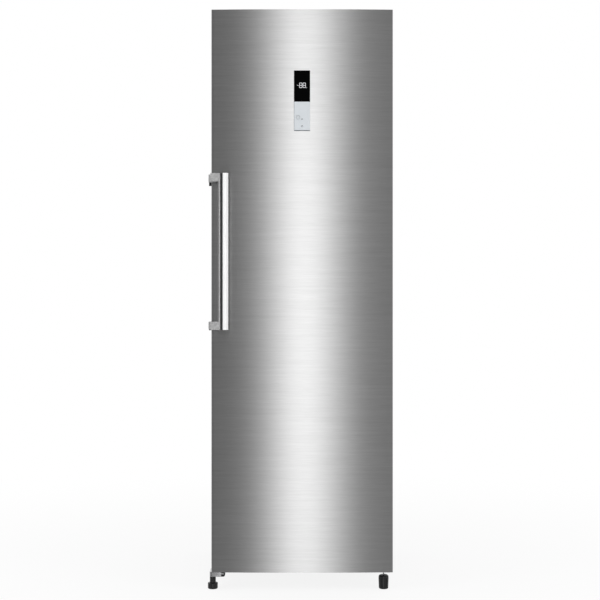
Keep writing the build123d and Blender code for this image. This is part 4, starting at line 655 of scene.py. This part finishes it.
# ---------------------------------------------------------------------- studio
@dataclass
class Studio:
    """Camera, lamps, surroundings and floor."""

    view_distance: float = 4.0  # camera to the door's edge plane
    view_height: float = 0.953  # camera above the floor
    view_side: float = -0.0066  # camera to the side of the door's middle
    focal_length: float = 73.2  # in millimetres
    sensor: float = 36.0  # the camera's sensor width, in millimetres
    # width, brightness and place to the side of the tall lamps behind the camera, one in front
    # of the other, which draw the door's soft light band
    strips: tuple[Point, ...] = (
        (0.35, 0.78, 0.025), (0.65, 0.69, 0.035), (1.0, 0.52, 0.05), (1.9, 0.10, 0.3)
    )
    strip_height: float = 6.5  # their height
    strip_middle: float = 1.0  # height of their middle above the floor
    strip_back: float = 4.6  # distance of the first one in front of the origin
    strip_step: float = 0.02  # from one to the next
    # place of the soft lamp at the right. Another one mirrors it at the left.
    side_lamp: Point = (3.2, -2.2, 2.2)
    side_target: Point = (0, 0, 0.9)  # what both lamps face
    side_size: Span = (1.6, 2.2)  # their width and height
    side_power: float = 30.0  # their power, in watts
    front_grey: float = 0.20  # brightness of the room behind the camera, as metal sees it
    flag_grey: float = 0.02  # brightness of the dark screens at the sides, which outline the edges
    flag_start: Span = (0.24, 0.34)  # sine of the side angle where they begin and are full
    flag_end: Span = (0.42, 0.50)  # the same where they fade and are gone
    side_grey: float = 0.38  # brightness of the room beside them
    back_start: Span = (0.3, 0.8)  # sine of the back angle where white begins and is full
    room_light: float = 0.75  # brightness of the room for everything dull
    floor_size: float = 40.0  # length of the floor's sides
    floor_grey: float = 0.9  # how much light it sends back
    floor_near: float = 0.86  # share of plain white in the floor beside the freezer
    floor_fade: Span = (0.4, 2.6)  # distances at which that share begins to grow and is full

    def camera(self, door_edge: float) -> None:
        """Set the camera square to the door.

        Args:
            door_edge: Y of the door's front at its side edges.
        """
        stand = (self.view_side, door_edge - self.view_distance, self.view_height)
        bpy.ops.object.camera_add(location=stand, rotation=TO_FRONT)
        lens = bpy.context.object.data
        lens.lens = self.focal_length
        lens.sensor_width = self.sensor
        bpy.context.scene.camera = bpy.context.object

    def lamp(self, name: str, at: Point, target: Point, size: Span, power: float) -> Object:
        """Add a rectangular lamp that faces a point and that the camera doesn't see.

        Args:
            name: its name.
            at: where it stands.
            target: what it faces.
            size: its width and height.
            power: in watts.

        Returns:
            The lamp.
        """
        facing = (Vector(target) - Vector(at)).to_track_quat("-Z", "Y")
        bpy.ops.object.light_add(type="AREA", location=at, rotation=facing.to_euler())
        lamp = bpy.context.object
        lamp.name = name
        lamp.data.shape = "RECTANGLE"
        lamp.data.size, lamp.data.size_y = size
        lamp.data.energy = power
        lamp.visible_camera = False
        return lamp

    def lamps(self) -> None:
        """The strips behind the camera, and at each side a soft lamp that steel doesn't mirror."""
        for number, (width, brightness, side) in enumerate(self.strips):
            at = (side, -self.strip_back - self.strip_step * number, self.strip_middle)
            power = brightness * math.pi * width * self.strip_height
            size = (width, self.strip_height)
            self.lamp(f"strip_{number}", at, (side, 0, self.strip_middle), size, power)
        across, *rest = self.side_lamp
        for name, side in (("left", -across), ("right", across)):
            at = (side, *rest)
            soft = self.lamp(name, at, self.side_target, self.side_size, self.side_power)
            soft.visible_glossy = False

    def surroundings(self) -> None:
        """White to the camera and behind the freezer, mid grey where the door looks."""
        world = bpy.data.worlds.new("studio")
        bpy.context.scene.world = world
        tree = empty_tree(world)
        way = add_node(tree, "ShaderNodeTexCoord").outputs["Generated"]
        split = add_node(tree, "ShaderNodeSeparateXYZ", {0: way})
        across = result(tree, "ABSOLUTE", split.outputs["X"])
        screens = ramp(tree, across, self.flag_start, (self.front_grey, self.flag_grey))
        past = ramp(tree, across, self.flag_end, (0.0, 1.0))
        sides = blend(tree, past, screens, self.side_grey)
        behind = ramp(tree, split.outputs["Y"], self.back_start, (0.0, 1.0))
        metal = blend(tree, behind, sides, 1.0)
        ray = add_node(tree, "ShaderNodeLightPath")
        dull = blend(tree, ray.outputs["Is Diffuse Ray"], metal, self.room_light)
        seen = whichever(tree, ray, ("Is Camera Ray", "Is Transmission Ray"))
        strength = blend(tree, seen, dull, 1.0)
        back = add_node(tree, "ShaderNodeBackground", {"Color": WHITE, "Strength": strength})
        add_node(tree, "ShaderNodeOutputWorld", {"Surface": back.outputs[0]})

    def floor(self) -> None:
        """A wide pale floor that keeps a soft shadow."""
        bpy.ops.mesh.primitive_plane_add(size=self.floor_size, location=(0, 0, 0))
        floor = settle("floor")
        material = bpy.data.materials.new("pale_floor")
        tree = empty_tree(material)
        grey = (self.floor_grey, self.floor_grey, self.floor_grey, 1.0)
        dull = add_node(tree, "ShaderNodeBsdfDiffuse", {"Color": grey})
        white = add_node(tree, "ShaderNodeEmission")
        ray = add_node(tree, "ShaderNodeLightPath")
        seen = whichever(tree, ray, ("Is Camera Ray", "Is Transmission Ray"))
        spot = {0: add_node(tree, "ShaderNodeTexCoord").outputs["Object"]}
        far = add_node(tree, "ShaderNodeVectorMath", spot, operation="LENGTH").outputs["Value"]
        fade = ramp(tree, far, self.floor_fade, (self.floor_near, 1.0), Course.EASED)
        pale = mixed(tree, result(tree, "MULTIPLY", seen, fade), dull, white)
        # steel doesn't mirror the floor, so that the door's band runs down to its lower edge
        passing = whichever(tree, ray, ("Is Glossy Ray", "Is Shadow Ray"))
        surface = mixed(tree, passing, pale, add_node(tree, "ShaderNodeBsdfTransparent"))
        add_node(tree, "ShaderNodeOutputMaterial", {"Surface": surface.outputs[0]})
        floor.data.materials.append(material)

    def build(self, door_edge: float) -> None:
        """Make the whole studio.

        Args:
            door_edge: Y of the door's front at its side edges.
        """
        bpy.context.scene.view_settings.view_transform = "Standard"
        self.camera(door_edge)
        self.lamps()
        self.surroundings()
        self.floor()


# ---------------------------------------------------------------------- pieces modelled here
@dataclass
class Replacement:
    """A sub-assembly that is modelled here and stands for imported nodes."""

    name: str  # the piece's name
    body: str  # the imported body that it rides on
    slot: str  # the record's material slot
    finish: Finish  # what it looks like
    stands_for: tuple[str, ...] = ()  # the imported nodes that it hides
    shading: float = 35.0  # angle in degrees up to which its edges are shaded smooth

    def build(self) -> Object:
        """Model the piece."""
        raise NotImplementedError

    def dress(self, piece: Object) -> None:
        """Give the piece its finish and body, and hide what it stands for.

        Args:
            piece: its model.
        """
        piece.data.materials.clear()
        piece.data.materials.append(self.finish.material())
        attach(piece, self.body)
        if self.stands_for:
            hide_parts(*self.stands_for)


@dataclass
class DoorSkin(Replacement):
    """The door's folded steel sheet: a crowned face with sides turned back."""

    crown: float = 6 * MM  # how far the middle of the face bulges past its edges
    shading: float = 40.0
    edge_radius: float = 4 * MM  # rounding of the upright edges
    edge_facets: int = 6  # facets across that rounding
    sheet: float = 1 * MM  # thickness of the steel
    steps: int = 72  # strips across the crowned face
    window_margin: float = 0.2 * MM  # cut in the steel beyond the control panel
    pocket_front: float = 8 * MM  # how far the hinge cut reaches in front of the hinge plate
    side_band: float = 0.1 * MM  # faces this near to the door's side belong to it

    def crowned_face(self) -> Object:
        """One upright edge spun round the crown's far axis.

        Returns:
            The face, without thickness.
        """
        low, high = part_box("door_skin")
        height = high.z - low.z
        radius = (high.x**2 + self.crown**2) / (2 * self.crown)
        middle = (low.x - height / 2, low.y + self.crown, low.z + height / 2)
        bpy.ops.mesh.primitive_plane_add(size=height, location=middle, rotation=TO_FRONT)
        skin = settle(self.name)
        with editing(skin):
            select(skin, Part.VERTS, lambda at, _: at.x < middle[0])
            bpy.ops.mesh.delete(type="VERT")
            bpy.ops.mesh.select_all(action="SELECT")
            bpy.ops.mesh.spin(
                steps=self.steps,
                angle=-2 * math.asin(high.x / radius),
                center=(0, low.y + radius, 0),
                axis=Z_WAY,
            )
        return skin

    def fold_sides(self, skin: Object) -> None:
        """Turn the sides back and round the upright edges.

        Args:
            skin: the crowned face.
        """
        low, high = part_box("door_skin")
        edge, side = low.y + self.crown, high.x - NEAR
        with editing(skin):
            select(skin, Part.EDGES, lambda at, _: abs(at.x) > side)
            pull(Y_WAY * (high.y - edge))
            bevel(
                skin, self.edge_radius, self.edge_facets,
                lambda at, _: abs(at.x) > side and near(at.y, edge),
            )

    def open_cuts(self, skin: Object) -> None:
        """Cut out the control panel's window and the upper hinge's pocket.

        Args:
            skin: the folded face.
        """
        window_low, window_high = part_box("display_window")
        panel_low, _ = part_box("touch_panel")
        _, skin_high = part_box("door_skin")
        left, right = window_low.x - self.window_margin, window_high.x + self.window_margin
        bottom, top = panel_low.z - self.window_margin, window_high.z + self.window_margin
        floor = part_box("hinge_bushes")[1].z
        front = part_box("upper_hinge")[0].y - self.pocket_front
        side = skin_high.x - self.side_band
        with editing(skin):
            cut(X_WAY, left, right)
            cut(Z_WAY, bottom, top, floor)
            cut(Y_WAY, front)
            for test in (
                lambda at, _: left < at.x < right and bottom < at.z < top,
                lambda at, _: at.x > side and at.y > front and at.z > floor,
            ):
                select(skin, Part.FACES, test)
                bpy.ops.mesh.delete(type="FACE")

    def build(self) -> Object:
        """Spin, fold, cut and thicken the sheet.

        Returns:
            The door's sheet.
        """
        skin = self.crowned_face()
        self.fold_sides(skin)
        self.open_cuts(skin)
        outward(skin)
        take(skin)
        steel = skin.modifiers.new("steel", "SOLIDIFY")
        steel.thickness = self.sheet
        steel.offset = -1.0
        steel.use_even_offset = True
        bpy.ops.object.modifier_apply(modifier=steel.name)
        smooth(skin, self.shading)
        return skin


@dataclass
class Gasket(Replacement):
    """The magnetic seal round the door: a foot, a folded bellows and the magnet's tube."""

    shading: float = 50.0
    width: float = 20 * MM  # across the ring's strip
    # depth from the door, and how far the strip is narrowed at each side there
    levels: tuple[Span, ...] = (
        (0.0, 3.5 * MM), (2.2 * MM, 3.0 * MM), (3.4 * MM, 6.6 * MM), (4.6 * MM, 7.0 * MM),
        (5.8 * MM, 1.6 * MM), (6.6 * MM, 0.4 * MM), (7.6 * MM, 0.0), (11.2 * MM, 0.0),
        (12.0 * MM, 1.2 * MM),
    )

    def narrow(self, ring: Object, depth: float, before: float, after: float) -> None:
        """Move the outer loop in, and the inner one out, at one depth.

        Args:
            ring: the seal.
            depth: Y of the level that is narrowed.
            before: how far its loops are already in.
            after: how far they end up.
        """
        low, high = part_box("door_gasket")
        middle, half = (low + high) / 2, (high - low) / 2
        between = half.x - self.width / 2
        for outer, inset, sign in ((True, 0.0, -1), (False, self.width, 1)):
            sizes = (size - inset for size in half.xz)
            x, z = ((size + sign * after) / (size + sign * before) for size in sizes)
            select(ring, Part.VERTS, lambda at, _: near(at.y, depth) and (abs(at.x) > between) is outer)
            bpy.ops.transform.resize(value=(x, 1, z), center_override=middle)

    def build(self) -> Object:
        """A ring of strip, extruded towards the cabinet level by level.

        Returns:
            The seal.
        """
        low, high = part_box("door_gasket")
        middle = ((low.x + high.x) / 2, low.y, (low.z + high.z) / 2)
        size = (high.x - low.x, 1, high.z - low.z)
        bpy.ops.mesh.primitive_plane_add(size=1, location=middle, rotation=TO_FRONT)
        ring = settle(self.name)
        with editing(ring):
            bpy.ops.mesh.select_all(action="SELECT")
            bpy.ops.transform.resize(value=size, center_override=middle)
            bpy.ops.mesh.inset(thickness=self.width)
            bpy.ops.mesh.delete(type="FACE")
            self.narrow(ring, low.y, 0.0, self.levels[0][1])
            for (depth, inset), (last, before) in zip(self.levels[1:], self.levels):
                select(ring, Part.FACES, lambda at, _: near(at.y, low.y + last))
                pull(Y_WAY * (depth - last))
                self.narrow(ring, low.y + depth, before, inset)
        return finished(ring, self.shading)


@dataclass
class HandleBar(Replacement):
    """The polished bar: a flat front face and a slanted one, with rounded edges."""

    shading: float = 20.0
    flat: float = 10.5 * MM  # width of the front face up to the crease
    slant: float = 2.5 * MM  # how far the right edge lies behind the front face
    edge: float = 1.2 * MM  # rounding of the upright edges
    crease: float = 0.3 * MM  # rounding of the crease and of the two ends
    edge_facets: int = 5  # facets across the rounding of the upright edges
    crease_facets: int = 3  # the same for the crease
    end_facets: int = 2  # the same for the two ends

    def build(self) -> Object:
        """Crease a block, slant its right part and round its edges.

        Returns:
            The bar.
        """
        low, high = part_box("handle_bar")
        bar = block(self.name, low, high)
        ridge = low.x + self.flat

        def upright(at: Vector, way: Vector) -> bool:
            """Whether an edge is an upright one at the side."""
            return along(way, Z_WAY) and not near(at.x, ridge)

        def creased(at: Vector, way: Vector) -> bool:
            """Whether an edge is the crease."""
            return along(way, Z_WAY) and near(at.x, ridge) and near(at.y, low.y)

        def at_end(at: Vector, _: Vector) -> bool:
            """Whether an edge goes round one of the ends, away from the crease."""
            level = near(at.z, low.z) or near(at.z, high.z)
            return level and abs(at.x - ridge) > self.crease

        with editing(bar):
            cut(X_WAY, ridge)
            select(bar, Part.VERTS, lambda at, _: near(at.x, high.x) and near(at.y, low.y))
            bpy.ops.transform.translate(value=Y_WAY * self.slant)
            bevel(bar, self.edge, self.edge_facets, upright)
            bevel(bar, self.crease, self.crease_facets, creased)
            bevel(bar, self.crease, self.end_facets, at_end)
        return finished(bar, self.shading)


@dataclass
class HandleRail(Replacement):
    """The satin rail beside the bar, from one handle arm to the other."""

    shading: float = 30.0
    edge: float = 1 * MM  # rounding of its upright edges
    facets: int = 4  # facets across that rounding

    def build(self) -> Object:
        """Round the four long edges of a block.

        Returns:
            The rail.
        """
        rail = block(self.name, *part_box("handle_rail"))
        with editing(rail):
            bevel(rail, self.edge, self.facets, lambda _, way: along(way, Z_WAY))
        return finished(rail, self.shading)


@dataclass
class GripShade(Replacement):
    """A dark hollow strip between the rail and the bar, which paints the shade in the gap between them.
    """

    shading: float = 30.0
    behind: float = 6 * MM  # how far its edges lie behind the bar's front
    hollow: float = 4 * MM  # depth of its middle
    strips: int = 8  # facets across the hollow

    def build(self) -> Object:
        """Cut a block into upright strips and push them in along a parabola.

        Returns:
            The strip.
        """
        bar_low, bar_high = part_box("handle_bar")
        low = Vector((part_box("handle_rail")[1].x, bar_low.y + self.behind, bar_low.z))
        high = Vector((bar_low.x, bar_high.y, bar_high.z))
        strip = block(self.name, low, high)
        shares = [number / self.strips for number in range(1, self.strips)]
        edges = [low.x + (high.x - low.x) * share for share in shares]
        with editing(strip):
            cut(X_WAY, *edges)
            for share, edge in zip(shares, edges):
                select(strip, Part.VERTS, lambda at, _: near(at.x, edge) and near(at.y, low.y))
                push = 4 * self.hollow * share * (1 - share)
                bpy.ops.transform.translate(value=Y_WAY * push)
        return finished(strip, self.shading)


@dataclass
class DisplayDigits(Replacement):
    """Lit seven-segment figures and a dot behind the black window."""

    height: float = 16.5 * MM  # of a figure
    width: float = 9.4 * MM  # of a figure
    stroke: float = 1.2 * MM  # width of a segment
    gap: float = 0.18 * MM  # between the points of two segments
    point: float = 0.1  # how wide a segment's ends are, as a share of the stroke
    raised: float = 0.05 * MM  # how far the figures stand out of the window
    above: float = 48.7 * MM  # the figures' middle below the window's top edge
    eights: Span = (-3.92 * MM, 7.28 * MM)  # the two eights' places beside the window's middle
    minus: Span = (-13.328 * MM, 5.17 * MM)  # the minus sign's place and length
    dot: Span = (15.456 * MM, 1.92 * MM)  # the dot's place and length

    def segment(self, at: Vector, length: float, way: Vector = X_WAY) -> Object:
        """One segment with two pointed ends.

        Args:
            at: its middle.
            length: from point to point.
            way: the axis that it lies along.

        Returns:
            The new object.
        """
        half = self.stroke / 2
        across = X_WAY + Z_WAY - way
        reach = way * (length / 2 - half) + across * half + Y_WAY * self.raised
        piece = block("segment", at - reach, at + reach)
        with editing(piece):
            for end in (way, -way):
                select(piece, Part.FACES, lambda _, normal: normal.dot(end) > FACING)
                pull(end * half)
                bpy.ops.transform.resize(value=across * self.point + way + Y_WAY)
        return piece

    def figure(self, at: Vector) -> list[Object]:
        """The seven lit segments of an eight.

        Args:
            at: the figure's middle.

        Returns:
            The segments.
        """
        across, up = self.width - self.stroke, (self.height - self.stroke) / 2
        level = [self.segment(at + Z_WAY * up * row, across - self.gap) for row in (-1, 0, 1)]
        upright = [
            self.segment(at + X_WAY * across * side + Z_WAY * up * row, up - self.gap, Z_WAY)
            for side in (-0.5, 0.5)
            for row in (-0.5, 0.5)
        ]
        return level + upright

    def build(self) -> Object:
        """Two eights, a minus sign and a dot, as one piece.

        Returns:
            The figures.
        """
        low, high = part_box("display_window")
        middle = Vector(((low.x + high.x) / 2, low.y, high.z - self.above))
        parts = [part for side in self.eights for part in self.figure(middle + X_WAY * side)]
        foot = middle + Z_WAY * (self.stroke - self.height) / 2
        for start, (side, length) in ((middle, self.minus), (foot, self.dot)):
            parts.append(self.segment(start + X_WAY * side, length))
        marks = join(parts, self.name)
        outward(marks)
        return marks


@dataclass
class TouchMarks(Replacement):
    """Faint printed marks of the touch keys, and dark lines at the panel's foot and left side that
    paint the shade of its recess.
    """

    bar: float = 1.0 * MM  # width of a printed bar
    bar_corner: float = 0.4 * MM  # rounding of its corners
    corner_facets: int = 3  # facets across that rounding
    foot_shadow: float = 3.0 * MM  # height of the painted shadow line at the panel's foot
    star: float = 6 * MM  # the star's and the switch sign's size
    star_turns: Point = (0, 60, 120)  # the angles of the star's bars, in degrees
    star_down: float = 57 * MM  # the star's middle below the panel's top edge
    switch_down: float = 80 * MM  # the switch sign's middle below it
    stroke_up: float = 1.8 * MM  # the middle of the sign's stroke above the middle of its ring
    stroke_turn: float = 90  # the angle of that stroke, in degrees
    ring_radius: float = 6.5 * MM  # the small ring's radius
    ring_at: Span = (-13 * MM, -51 * MM)  # its middle beside and above that of the panel's top edge
    ring_sides: int = 40  # sides of a ring
    raised: float = 0.04 * MM  # thickness of the print

    def ring(self, at: Vector, radius: float) -> Object:
        """A flat printed ring.

        Args:
            at: its middle.
            radius: its outer radius.

        Returns:
            The new object.
        """
        sides = self.ring_sides
        bpy.ops.mesh.primitive_circle_add(
            vertices=sides, radius=radius, fill_type="NGON", location=at, rotation=TO_FRONT
        )
        ring = settle("ring")
        with editing(ring):
            bpy.ops.mesh.select_all(action="SELECT")
            bpy.ops.mesh.inset(thickness=self.bar)
            bpy.ops.mesh.delete(type="FACE")
            bpy.ops.mesh.select_all(action="SELECT")
            pull(Y_WAY * self.raised)
        return ring

    def stripe(self, at: Vector, length: float, turn: float) -> Object:
        """A printed bar, turned about the panel's normal.

        Args:
            at: its middle.
            length: its length.
            turn: its angle to the level, in degrees.

        Returns:
            The new object.
        """
        reach = Vector((length, self.raised, self.bar)) / 2
        stripe = block("stripe", at - reach, at + reach)
        with editing(stripe):
            bevel(stripe, self.bar_corner, self.corner_facets, lambda _, way: along(way, Y_WAY))
            bpy.ops.mesh.select_all(action="SELECT")
            bpy.ops.transform.rotate(value=math.radians(turn), orient_axis="Y", center_override=at)
        return stripe

    def build(self) -> Object:
        """A star, a switch sign, a ring and two painted shade lines, as one piece.

        Returns:
            The marks.
        """
        low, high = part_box("touch_panel")
        top = Vector(((low.x + high.x) / 2, low.y, high.z))
        star, switch = top - Z_WAY * self.star_down, top - Z_WAY * self.switch_down
        parts = [self.stripe(star, self.star, turn) for turn in self.star_turns]
        parts.append(self.ring(switch, self.star / 2))
        stroke = switch + Z_WAY * self.stroke_up
        parts.append(self.stripe(stroke, self.star / 2, self.stroke_turn))
        side, up = self.ring_at
        parts.append(self.ring(top + X_WAY * side + Z_WAY * up, self.ring_radius))
        # a dark line under the panel and one at its left side paint the shade of the panel's recess
        shadow_low = (low.x, low.y, low.z - self.foot_shadow)
        parts.append(block("foot_shadow", shadow_low, (high.x, high.y, low.z)))
        shade_low = (low.x, low.y - self.raised / 2, low.z)
        shade_high = (low.x + self.bar, low.y + self.raised / 2, high.z)
        parts.append(block("side_shade", shade_low, shade_high))
        marks = join(parts, self.name)
        outward(marks)
        return marks


@dataclass
class MountShadowLips(Replacement):
    """Dark lips under the handle's two mounts, which paint the shadow beneath each mount."""

    lip: float = 2.4 * MM  # how far they reach below a mount
    rounding: float = 1.44 * MM  # of their lower edges
    facets: int = 4  # facets across that rounding
    front: float = 5 * MM  # how far they stand in front of the door's edge plane
    shorter: float = 2 * MM  # how much lower a mount is than the handle's arm

    def build(self) -> Object:
        """One rounded lip below each mount.

        Returns:
            Both lips as one piece.
        """
        low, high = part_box("handle_mounts")
        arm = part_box("handle_rail")[0].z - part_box("handle_bar")[0].z
        lips = []
        for bottom in (low.z, high.z - arm + self.shorter):
            lip_low = (low.x, high.y - self.front, bottom - self.lip)
            lip = block("lip", lip_low, (high.x - self.front, high.y, bottom))
            lips.append(lip)
            with editing(lip):
                bevel(
                    lip, self.rounding, self.facets,
                    lambda at, way: along(way, Y_WAY) and not near(at.z, bottom),
                )
        return finished(join(lips, self.name), self.shading)


@dataclass
class CornerBracket(Replacement):
    """The pressed shoe over the left foot, with its tongue and its leg on the cabinet."""

    shading: float = 30.0
    bottom: float = 43 * MM  # height of the shoe's lower edge
    top: float = 59 * MM  # height of its upper face
    inset: float = 1.5 * MM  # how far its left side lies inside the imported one
    corner: float = 8 * MM  # rounding of its front corner
    corner_facets: int = 8  # facets across that rounding
    wall: float = 2 * MM  # thickness of its walls
    bend: float = 1 * MM  # rounding of its upper edges
    bend_facets: int = 3  # facets across that rounding
    tongue: Point = (9 * MM, 51 * MM, 54 * MM)  # length, lower and upper level of the tongue
    tongue_back: float = 0.6 * MM  # how far the tongue lies behind the shoe's front
    leg: float = 3 * MM  # thickness of the leg on the cabinet's front
    leg_right: float = 10 * MM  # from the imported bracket's side to the leg

    def build(self) -> Object:
        """A shoe hollowed from below, and a block each for the tongue and the leg.

        Returns:
            The bracket.
        """
        low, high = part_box("foot_bracket")
        cap_low, cap_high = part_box("bracket_cap")
        right = cap_low.x
        shoe = block("shoe", (low.x + self.inset, low.y, self.bottom), (right, high.y, self.top))

        def front_corner(at: Vector, way: Vector) -> bool:
            """Whether an edge is the upright one at the shoe's left front corner."""
            return along(way, Z_WAY) and not near(at.x, right) and near(at.y, low.y)

        with editing(shoe):
            bevel(shoe, self.corner, self.corner_facets, front_corner)
            select(shoe, Part.FACES, lambda _, normal: normal.z < -FACING)
            bpy.ops.mesh.inset(thickness=self.wall)
            pull(Z_WAY * (self.top - self.bottom - self.wall))
            bevel(shoe, self.bend, self.bend_facets, lambda at, _: near(at.z, self.top))
        reach, under, over = self.tongue
        tongue_low = (right, low.y + self.tongue_back, under)
        tongue = block("tongue", tongue_low, (right + reach, cap_high.y, over))
        leg = block("leg", (low.x + self.leg_right, high.y - self.leg, self.top), high)
        return finished(join([shoe, tongue, leg], self.name), self.shading)


@dataclass
class BracketEnd(Replacement):
    """The black end cap, open round the bracket's tongue."""

    bottom: float = 43.5 * MM  # height of its lower face
    top: float = 59 * MM  # height of its upper face
    rounding: Span = (6 * MM, 3 * MM)  # of its lower and upper outer edge
    facets: int = 6  # facets across a rounding
    play: float = 0.3 * MM  # opening beyond the tongue
    sunk: float = 0.9  # depth of the opening, as a share of the cap's

    def build(self) -> Object:
        """Round a block's outer edges and sink a slot for the tongue into its front.

        Returns:
            The cap.
        """
        low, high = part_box("bracket_cap")
        reach, under, over = CornerBracket.tongue
        end, floor, roof = low.x + reach + self.play, under - self.play, over + self.play
        cap = block(self.name, (low.x, low.y, self.bottom), (high.x, high.y, self.top))

        def in_slot(at: Vector, normal: Vector) -> bool:
            """Whether a face is the part of the front that the slot opens."""
            return normal.y < -FACING and at.x < end and floor < at.z < roof

        with editing(cap):
            for level, size in zip((self.bottom, self.top), self.rounding):
                bevel(
                    cap, size, self.facets,
                    lambda at, way: along(way, Y_WAY) and near(at.x, high.x) and near(at.z, level),
                )
            cut(Z_WAY, floor, roof)
            cut(X_WAY, end)
            select(cap, Part.FACES, in_slot)
            pull(Y_WAY * (high.y - low.y) * self.sunk)
        return finished(cap, self.shading)


@dataclass
class LevelStud(Replacement):
    """A foot's plated stud, which shows between the foot and what it carries."""

    bottom: float = 40 * MM  # where it leaves the foot's plastic
    radius: float = 2.5 * MM  # its radius
    sides: int = 24  # steps round it

    def build(self) -> Object:
        """A rod on the foot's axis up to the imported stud's top.

        Returns:
            The stud.
        """
        low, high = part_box(self.body)
        middle = (low + high) / 2
        base = (middle.x, middle.y, self.bottom)
        stud = rod(self.name, base, self.radius, high.z - self.bottom, self.sides)
        return finished(stud, self.shading)


@dataclass
class Foot(Replacement):
    """What the two adjustable feet share."""

    rim: float = 3.5 * MM  # rounding of the lower rim
    rim_facets: int = 5  # facets across a rim's rounding
    outer: float = 0.9  # share of the radius past which an edge belongs to a rim

    def round_rims(self, foot: Object, top: float, rounding: float) -> None:
        """Round the outer rims in edit mode.

        Args:
            foot: the piece.
            top: height of the upper rim.
            rounding: of the upper rim.
        """
        low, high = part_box(self.body)
        middle, inside = (low + high) / 2, (high.x - low.x) / 2 * self.outer
        for level, size in ((low.z, self.rim), (top, rounding)):
            bevel(
                foot, size, self.rim_facets,
                lambda at, _: near(at.z, level) and (at - middle).xy.length > inside,
            )


@dataclass
class DiscFoot(Foot):
    """The low foot on the handle's side: a rounded disc and a post."""

    disc: float = 20 * MM  # height of the disc
    post: float = 42.7 * MM  # height of the post's top
    post_radius: float = 10 * MM  # its radius
    shoulder: float = 2 * MM  # rounding of the disc's upper rim
    sides: int = 64  # steps round the disc

    def build(self) -> Object:
        """Inset a disc, extrude the post and round the rims.

        Returns:
            The foot.
        """
        low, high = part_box("foot_left")
        radius = (high.x - low.x) / 2
        middle = (low + high) / 2
        base = (middle.x, middle.y, low.z)
        foot = rod(self.name, base, radius, self.disc, self.sides)
        with editing(foot):
            select(foot, Part.FACES, lambda _, normal: normal.z > FACING)
            bpy.ops.mesh.inset(thickness=radius - self.post_radius)
            pull(Z_WAY * (self.post - self.disc))
            self.round_rims(foot, low.z + self.disc, self.shoulder)
        return finished(foot, self.shading)


@dataclass
class RibbedFoot(Foot):
    """The tall foot under the hinge: a domed grip with grooves for the fingers."""

    rim_facets: int = 6
    grip: float = 46 * MM  # height of the grip
    groove: Span = (6 * MM, 36 * MM)  # lowest and highest point of its grooves above the floor
    groove_depth: float = 1.8 * MM  # how deep they are
    grooves: int = 7  # how many there are round the grip
    facets: int = 10  # sides of the grip for each groove
    share: float = 0.4  # how much of the way round is groove
    start: float = 0.55  # turn of the first one, as a share of the way from one to the next
    dome: float = 7 * MM  # rounding of the upper rim
    taper: float = 0.93  # the lower rim's share of the grip's width

    def build(self) -> Object:
        """Cut grooves into a cylinder, taper it and round its rims.

        Returns:
            The foot.
        """
        low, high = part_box("foot_right")
        radius = (high.x - low.x) / 2
        middle = (low + high) / 2
        base = (middle.x, middle.y, low.z)
        foot = rod(self.name, base, radius, self.grip, self.grooves * self.facets)
        start, end = (low.z + level for level in self.groove)

        def in_groove(at: Vector, normal: Vector) -> bool:
            """Whether a side face lies in one of the grooves.

            Args:
                at: the face's middle.
                normal: its normal.

            Returns:
                True for a face that is sunk.
            """
            turn = math.atan2(at.y - middle.y, at.x - middle.x) / math.tau * self.grooves
            side = not along(normal, Z_WAY) and start < at.z < end
            return side and (turn - self.start) % 1 < self.share

        with editing(foot):
            cut(Z_WAY, start, end)
            select(foot, Part.FACES, in_groove)
            bpy.ops.mesh.extrude_region_shrink_fatten(
                TRANSFORM_OT_shrink_fatten={"value": -self.groove_depth}
            )
            self.round_rims(foot, low.z + self.grip, self.dome)
            select(foot, Part.VERTS, lambda at, _: at.z < start + NEAR)
            bpy.ops.transform.resize(value=(self.taper, self.taper, 1), center_override=base)
        return finished(foot, self.shading)


# ---------------------------------------------------------------------- everything
def dress_packed(nodes: dict[str, Object]) -> None:
    """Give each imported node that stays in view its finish.

    Args:
        nodes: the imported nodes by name.
    """
    for finish, names in PACKED_FINISHES.items():
        for name in names:
            mesh = nodes[name].data
            mesh.materials.clear()
            mesh.materials.append(finish.material())
        LOG.info("%s on %s", finish.name, ", ".join(names))


def main() -> None:
    """Load the frame, build each piece, dress it and build the studio."""
    logging.basicConfig(level=logging.INFO, format="%(name)s: %(message)s")
    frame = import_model()
    dress_packed(frame["nodes"])
    skin = DoorSkin("steel_door", "door", "door_steel", DOOR_STEEL, ("door_skin",))
    for piece in (
        skin,
        Gasket("seal_bellows", "door", "gasket", SEAL, ("door_gasket",)),
        HandleBar("polished_bar", "handle", "polished", POLISHED_PAINTED_SHEEN, ("handle_bar",)),
        HandleRail("satin_rail", "handle", "satin", SATIN_STEEL, ("handle_rail",)),
        # dark strip that paints the shade between the handle's rail and bar
        GripShade("grip_shade_strip", "handle", "black_plastic", GRIP_SHADE),
        DisplayDigits("display_digits", "door", "display", DIGITS),
        TouchMarks("touch_marks", "door", "touch", PRINT_AND_SHADE),
        # dark lips that paint the shadow under the handle's mounts
        MountShadowLips("mount_shadow_lips", "door", "black_plastic", BLACK_MOULDED),
        CornerBracket("corner_bracket", "cabinet", "zinc_steel", PLATED, ("foot_bracket",)),
        BracketEnd("bracket_end", "cabinet", "black_plastic", BLACK_MOULDED, ("bracket_cap",)),
        DiscFoot("disc_foot", "foot_left", "black_plastic", FOOT_PLASTIC, ("foot_left",)),
        RibbedFoot("ribbed_foot", "foot_right", "black_plastic", FOOT_PLASTIC, ("foot_right",)),
        LevelStud("left_stud", "foot_left", "zinc_steel", PLATED),
        LevelStud("right_stud", "foot_right", "zinc_steel", PLATED),
    ):
        model = piece.build()
        piece.dress(model)
        LOG.info("%s built, %d faces", piece.name, len(model.data.polygons))
    Studio().build(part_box("door_skin")[0].y + skin.crown)
    LOG.info("studio built")


if __name__ == "__main__":
    main()
